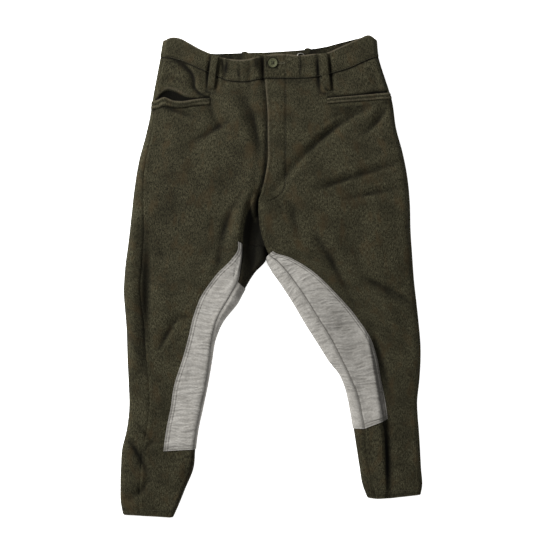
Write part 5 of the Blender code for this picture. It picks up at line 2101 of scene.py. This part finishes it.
@dataclass
class Button:
    """Four-hole button with its thread and the worked buttonhole beside it."""

    ring: Ring
    finishes: Finishes
    width: float = 16.5
    wall: float = 3.0
    holes: int = 4
    hole_reach: float = 2.5
    hole_radius: float = 1.15
    strand_radius: float = 0.14
    strand_pitch: float = 0.3
    slit: tuple[float, float] = (10.5, 21.5)
    slit_side: float = 1.25
    slit_stitch: tuple[float, float, float] = (1.9, 0.7, 0.6)

    def build(self) -> None:
        """Make the button, its thread and the buttonhole."""
        low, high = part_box("button")
        self.disc(Vector(low), Vector(high))
        self.thread()
        self.buttonhole()

    def disc(self, low: Vector, high: Vector) -> None:
        """Turn the disc with a rolled rim and a dished middle.

        Args:
            low: the solid's lowest corner.
            high: its highest corner.
        """
        middle = (low + high) / 2
        bpy.ops.object.select_all(action="DESELECT")
        bpy.ops.mesh.primitive_cylinder_add(vertices=64, radius=self.width / 2 * MM, depth=self.wall * MM,
                                            location=middle)
        button = bpy.context.object
        button.name = "moulded_button"
        shape = bmesh.new()
        shape.from_mesh(button.data)
        for sign, steps in ((1, ((0.55, 0.0), (0.9, 0.0), (0.7, -0.35), (0.6, -0.45), (0.9, -0.1))),
                            (-1, ((0.8, 0.0),))):
            face = [f for f in shape.faces if f.normal.z * sign > 0.9 and len(f.verts) > 8]
            for inset, depth in steps:
                bmesh.ops.inset_region(shape, faces=face, thickness=inset * MM, depth=0.0)
                bmesh.ops.translate(shape, verts=list({v for f in face for v in f.verts}),
                                    vec=(0, 0, depth * MM))
        shape.to_mesh(button.data)
        shape.free()
        for index in range(self.holes):
            angle = math.pi / 4 + index * math.pi / 2
            spot = middle + Vector((math.cos(angle), math.sin(angle), 0.0)) * self.hole_reach * MM
            bpy.ops.mesh.primitive_cylinder_add(vertices=20, radius=self.hole_radius * MM,
                                                depth=2 * self.wall * MM, location=spot)
            cutter = bpy.context.object
            modifier = button.modifiers.new("hole", "BOOLEAN")
            modifier.object = cutter
            bpy.context.view_layer.objects.active = button
            bpy.ops.object.modifier_apply(modifier=modifier.name)
            bpy.data.objects.remove(cutter, do_unlink=True)
        bevel = button.modifiers.new("rim", "BEVEL")
        bevel.width = 0.35 * MM
        bevel.segments = 3
        bevel.limit_method = "ANGLE"
        bevel.angle_limit = math.radians(40)
        bpy.context.view_layer.objects.active = button
        bpy.ops.object.modifier_apply(modifier=bevel.name)
        bpy.ops.object.select_all(action="DESELECT")
        button.select_set(True)
        bpy.ops.object.transform_apply(location=True, rotation=True, scale=True)
        button.data.materials.clear()
        button.data.materials.append(self.finishes.button)
        button.data.shade_smooth()
        button.data.set_sharp_from_angle(angle=math.radians(38))
        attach(button, "root")
        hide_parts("button")
        self.middle = middle
        LOG.info("button: %d faces", len(button.data.polygons))

    def thread(self) -> None:
        """Cross the holes with thread that goes down through the cloth."""
        bpy.ops.object.select_all(action="DESELECT")
        strands = []
        top = self.middle.z + (self.wall / 2 - 0.55) * MM
        for index in range(2):
            angle = math.pi / 4 + index * math.pi / 2
            way = Vector((math.cos(angle), math.sin(angle), 0.0))
            for shift in (-self.strand_pitch, 0.0, self.strand_pitch):
                side = Vector((-way.y, way.x, 0.0)) * shift * MM
                curve = bpy.data.curves.new("strand", "CURVE")
                curve.dimensions = "3D"
                curve.bevel_depth = self.strand_radius * MM
                curve.bevel_resolution = 2
                curve.use_fill_caps = True
                spline = curve.splines.new("POLY")
                stops = ((-1.12, -1.9), (-1.02, -0.3), (-0.7, 0.12), (0.0, 0.3 + 0.12 * index),
                         (0.7, 0.12), (1.02, -0.3), (1.12, -1.9))
                spline.points.add(len(stops) - 1)
                for point, (share, rise) in zip(spline.points, stops):
                    spot = self.middle + way * share * self.hole_reach * MM + side
                    point.co = (spot.x, spot.y, top + rise * MM, 1.0)
                strand = bpy.data.objects.new("strand", curve)
                bpy.context.collection.objects.link(strand)
                strands.append(strand)
        for strand in strands:
            strand.select_set(True)
        bpy.context.view_layer.objects.active = strands[0]
        bpy.ops.object.convert(target="MESH")
        bpy.ops.object.join()
        piece = bpy.context.object
        piece.name = "button_thread"
        piece.data.materials.clear()
        piece.data.materials.append(self.finishes.button_thread)
        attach(piece, "root")
        LOG.info("%s: %d faces", piece.name, len(piece.data.polygons))

    def buttonhole(self) -> None:
        """Work close stitches round the end of the slit that shows beside the button."""
        start, end = self.slit
        middle = BUTTON_PLACE[1]
        turns = []
        for x in np.linspace(start, end, 17):
            turns += [(x, middle + self.slit_side, 90.0), (x, middle - self.slit_side, -90.0)]
        for index in range(1, 8):
            angle = 90.0 - 180.0 * index / 8
            turn = math.radians(angle)
            turns.append((end + self.slit_side * math.cos(turn),
                          middle + self.slit_side * math.sin(turn), angle))
        xs, ys, angles = np.array(turns).T
        angles = np.radians(angles)
        heights = self.ring.height(xs, ys) + BAND / 2 + 0.15
        ways = np.stack((np.cos(angles), np.sin(angles), np.zeros_like(angles)), axis=1)
        spots = [(place, way, UP) for place, way in zip(np.stack((xs, ys, heights), axis=1), ways)]
        lay_stitches("buttonhole", spots, self.slit_stitch, self.finishes.thread, "wool")


@dataclass
class WaistRing:
    """The small wire ring inside the back of the waistband."""

    finishes: Finishes

    def build(self) -> None:
        """Make the ring where its solid lies."""
        low, high = (Vector(corner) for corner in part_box("waist_ring"))
        middle = (low + high) / 2
        wire = (high.z - low.z) / 2
        bpy.ops.object.select_all(action="DESELECT")
        bpy.ops.mesh.primitive_torus_add(major_radius=(high.x - low.x) / 2 - wire, minor_radius=wire,
                                         major_segments=72, minor_segments=16, location=middle)
        ring = bpy.context.object
        ring.name = "wire_ring"
        bpy.ops.object.transform_apply(location=True, rotation=True, scale=True)
        ring.data.materials.clear()
        ring.data.materials.append(self.finishes.wire)
        ring.data.shade_smooth()
        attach(ring, "root")
        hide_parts("waist_ring")
        LOG.info("ring: %d faces", len(ring.data.polygons))


@dataclass
class Studio:
    """A pale floor, soft light and a camera straight above."""

    pixel: float = 1.8
    frame_pixels: float = 533.0
    middle: tuple[float, float] = (-8.6, 18.1)
    distance: float = 4.2
    floor_size: float = 6.0
    floor_drop: float = 0.0004
    floor_color: Color = (0.93, 0.93, 0.92, 1.0)
    floor_glow: float = 0.75
    room_light: float = 0.42

    def build(self) -> None:
        """Set the floor, the lights and the camera."""
        self.floor()
        self.world()
        self.light("key", (-1.7, 1.35, 1.35), 0.9, 150.0)
        self.light("fill", (1.2, -0.9, 2.6), 2.4, 22.0)
        self.camera()
        view = bpy.context.scene.view_settings
        view.view_transform = "Standard"
        view.look = "None"

    def floor(self) -> None:
        """Lay the floor under the breeches."""
        bpy.ops.object.select_all(action="DESELECT")
        bpy.ops.mesh.primitive_plane_add(size=self.floor_size, location=(0, 0, -self.floor_drop))
        floor = bpy.context.object
        floor.name = "floor"
        shader = Shader("pale_floor")
        white = self.floor_color
        floor.data.materials.append(shader.finish(white, 0.9, None, Emission_Color=white,
                                                  Emission_Strength=self.floor_glow))

    def world(self) -> None:
        """Fill the room with even light."""
        world = bpy.data.worlds.new("room")
        world.use_nodes = True
        background = world.node_tree.nodes["Background"]
        background.inputs["Color"].default_value = (1.0, 1.0, 1.0, 1.0)
        background.inputs["Strength"].default_value = self.room_light
        bpy.context.scene.world = world

    @staticmethod
    def light(name: str, place: tuple[float, float, float], size: float, power: float) -> None:
        """Add a soft square light that faces the breeches.

        Args:
            name: its name.
            place: where it stands.
            size: its side in metres.
            power: watts.
        """
        data = bpy.data.lights.new(name, "AREA")
        data.shape = "SQUARE"
        data.size = size
        data.energy = power
        lamp = bpy.data.objects.new(name, data)
        lamp.location = place
        lamp.rotation_euler = (-Vector(place)).to_track_quat("-Z", "Y").to_euler()
        bpy.context.collection.objects.link(lamp)

    def camera(self) -> None:
        """Put the camera straight above, framed as the photograph is."""
        data = bpy.data.cameras.new("camera")
        width = self.frame_pixels * self.pixel * MM
        data.sensor_fit = "AUTO"
        data.lens = data.sensor_width / 2 / (width / 2 / (self.distance - 0.008))
        camera = bpy.data.objects.new("camera", data)
        camera.location = (self.middle[0] * MM, self.middle[1] * MM, self.distance)
        bpy.context.collection.objects.link(camera)
        bpy.context.scene.camera = camera


def main() -> None:
    """Build the breeches' looks in order."""
    logging.basicConfig(level=logging.INFO, format="%(name)s %(message)s")
    step = FINE_STEP
    finishes = Finishes.make()
    rings = {
        Side.RIGHT: Ring(Side.RIGHT, RIGHT_ROWS, RIGHT_FOLDS, RIGHT_SHADES, "rise", "thigh_b", step),
        Side.LEFT: Ring(Side.LEFT, LEFT_ROWS, LEFT_FOLDS, LEFT_SHADES, "crotch", "crotch", step),
    }
    for ring in rings.values():
        Half(ring, finishes).build()
    Loops(rings, finishes).build()
    Stitching(rings, finishes).build()
    Button(rings[Side.LEFT], finishes).build()
    WaistRing(finishes).build()
    Studio().build()


if __name__ == "__main__":
    main()
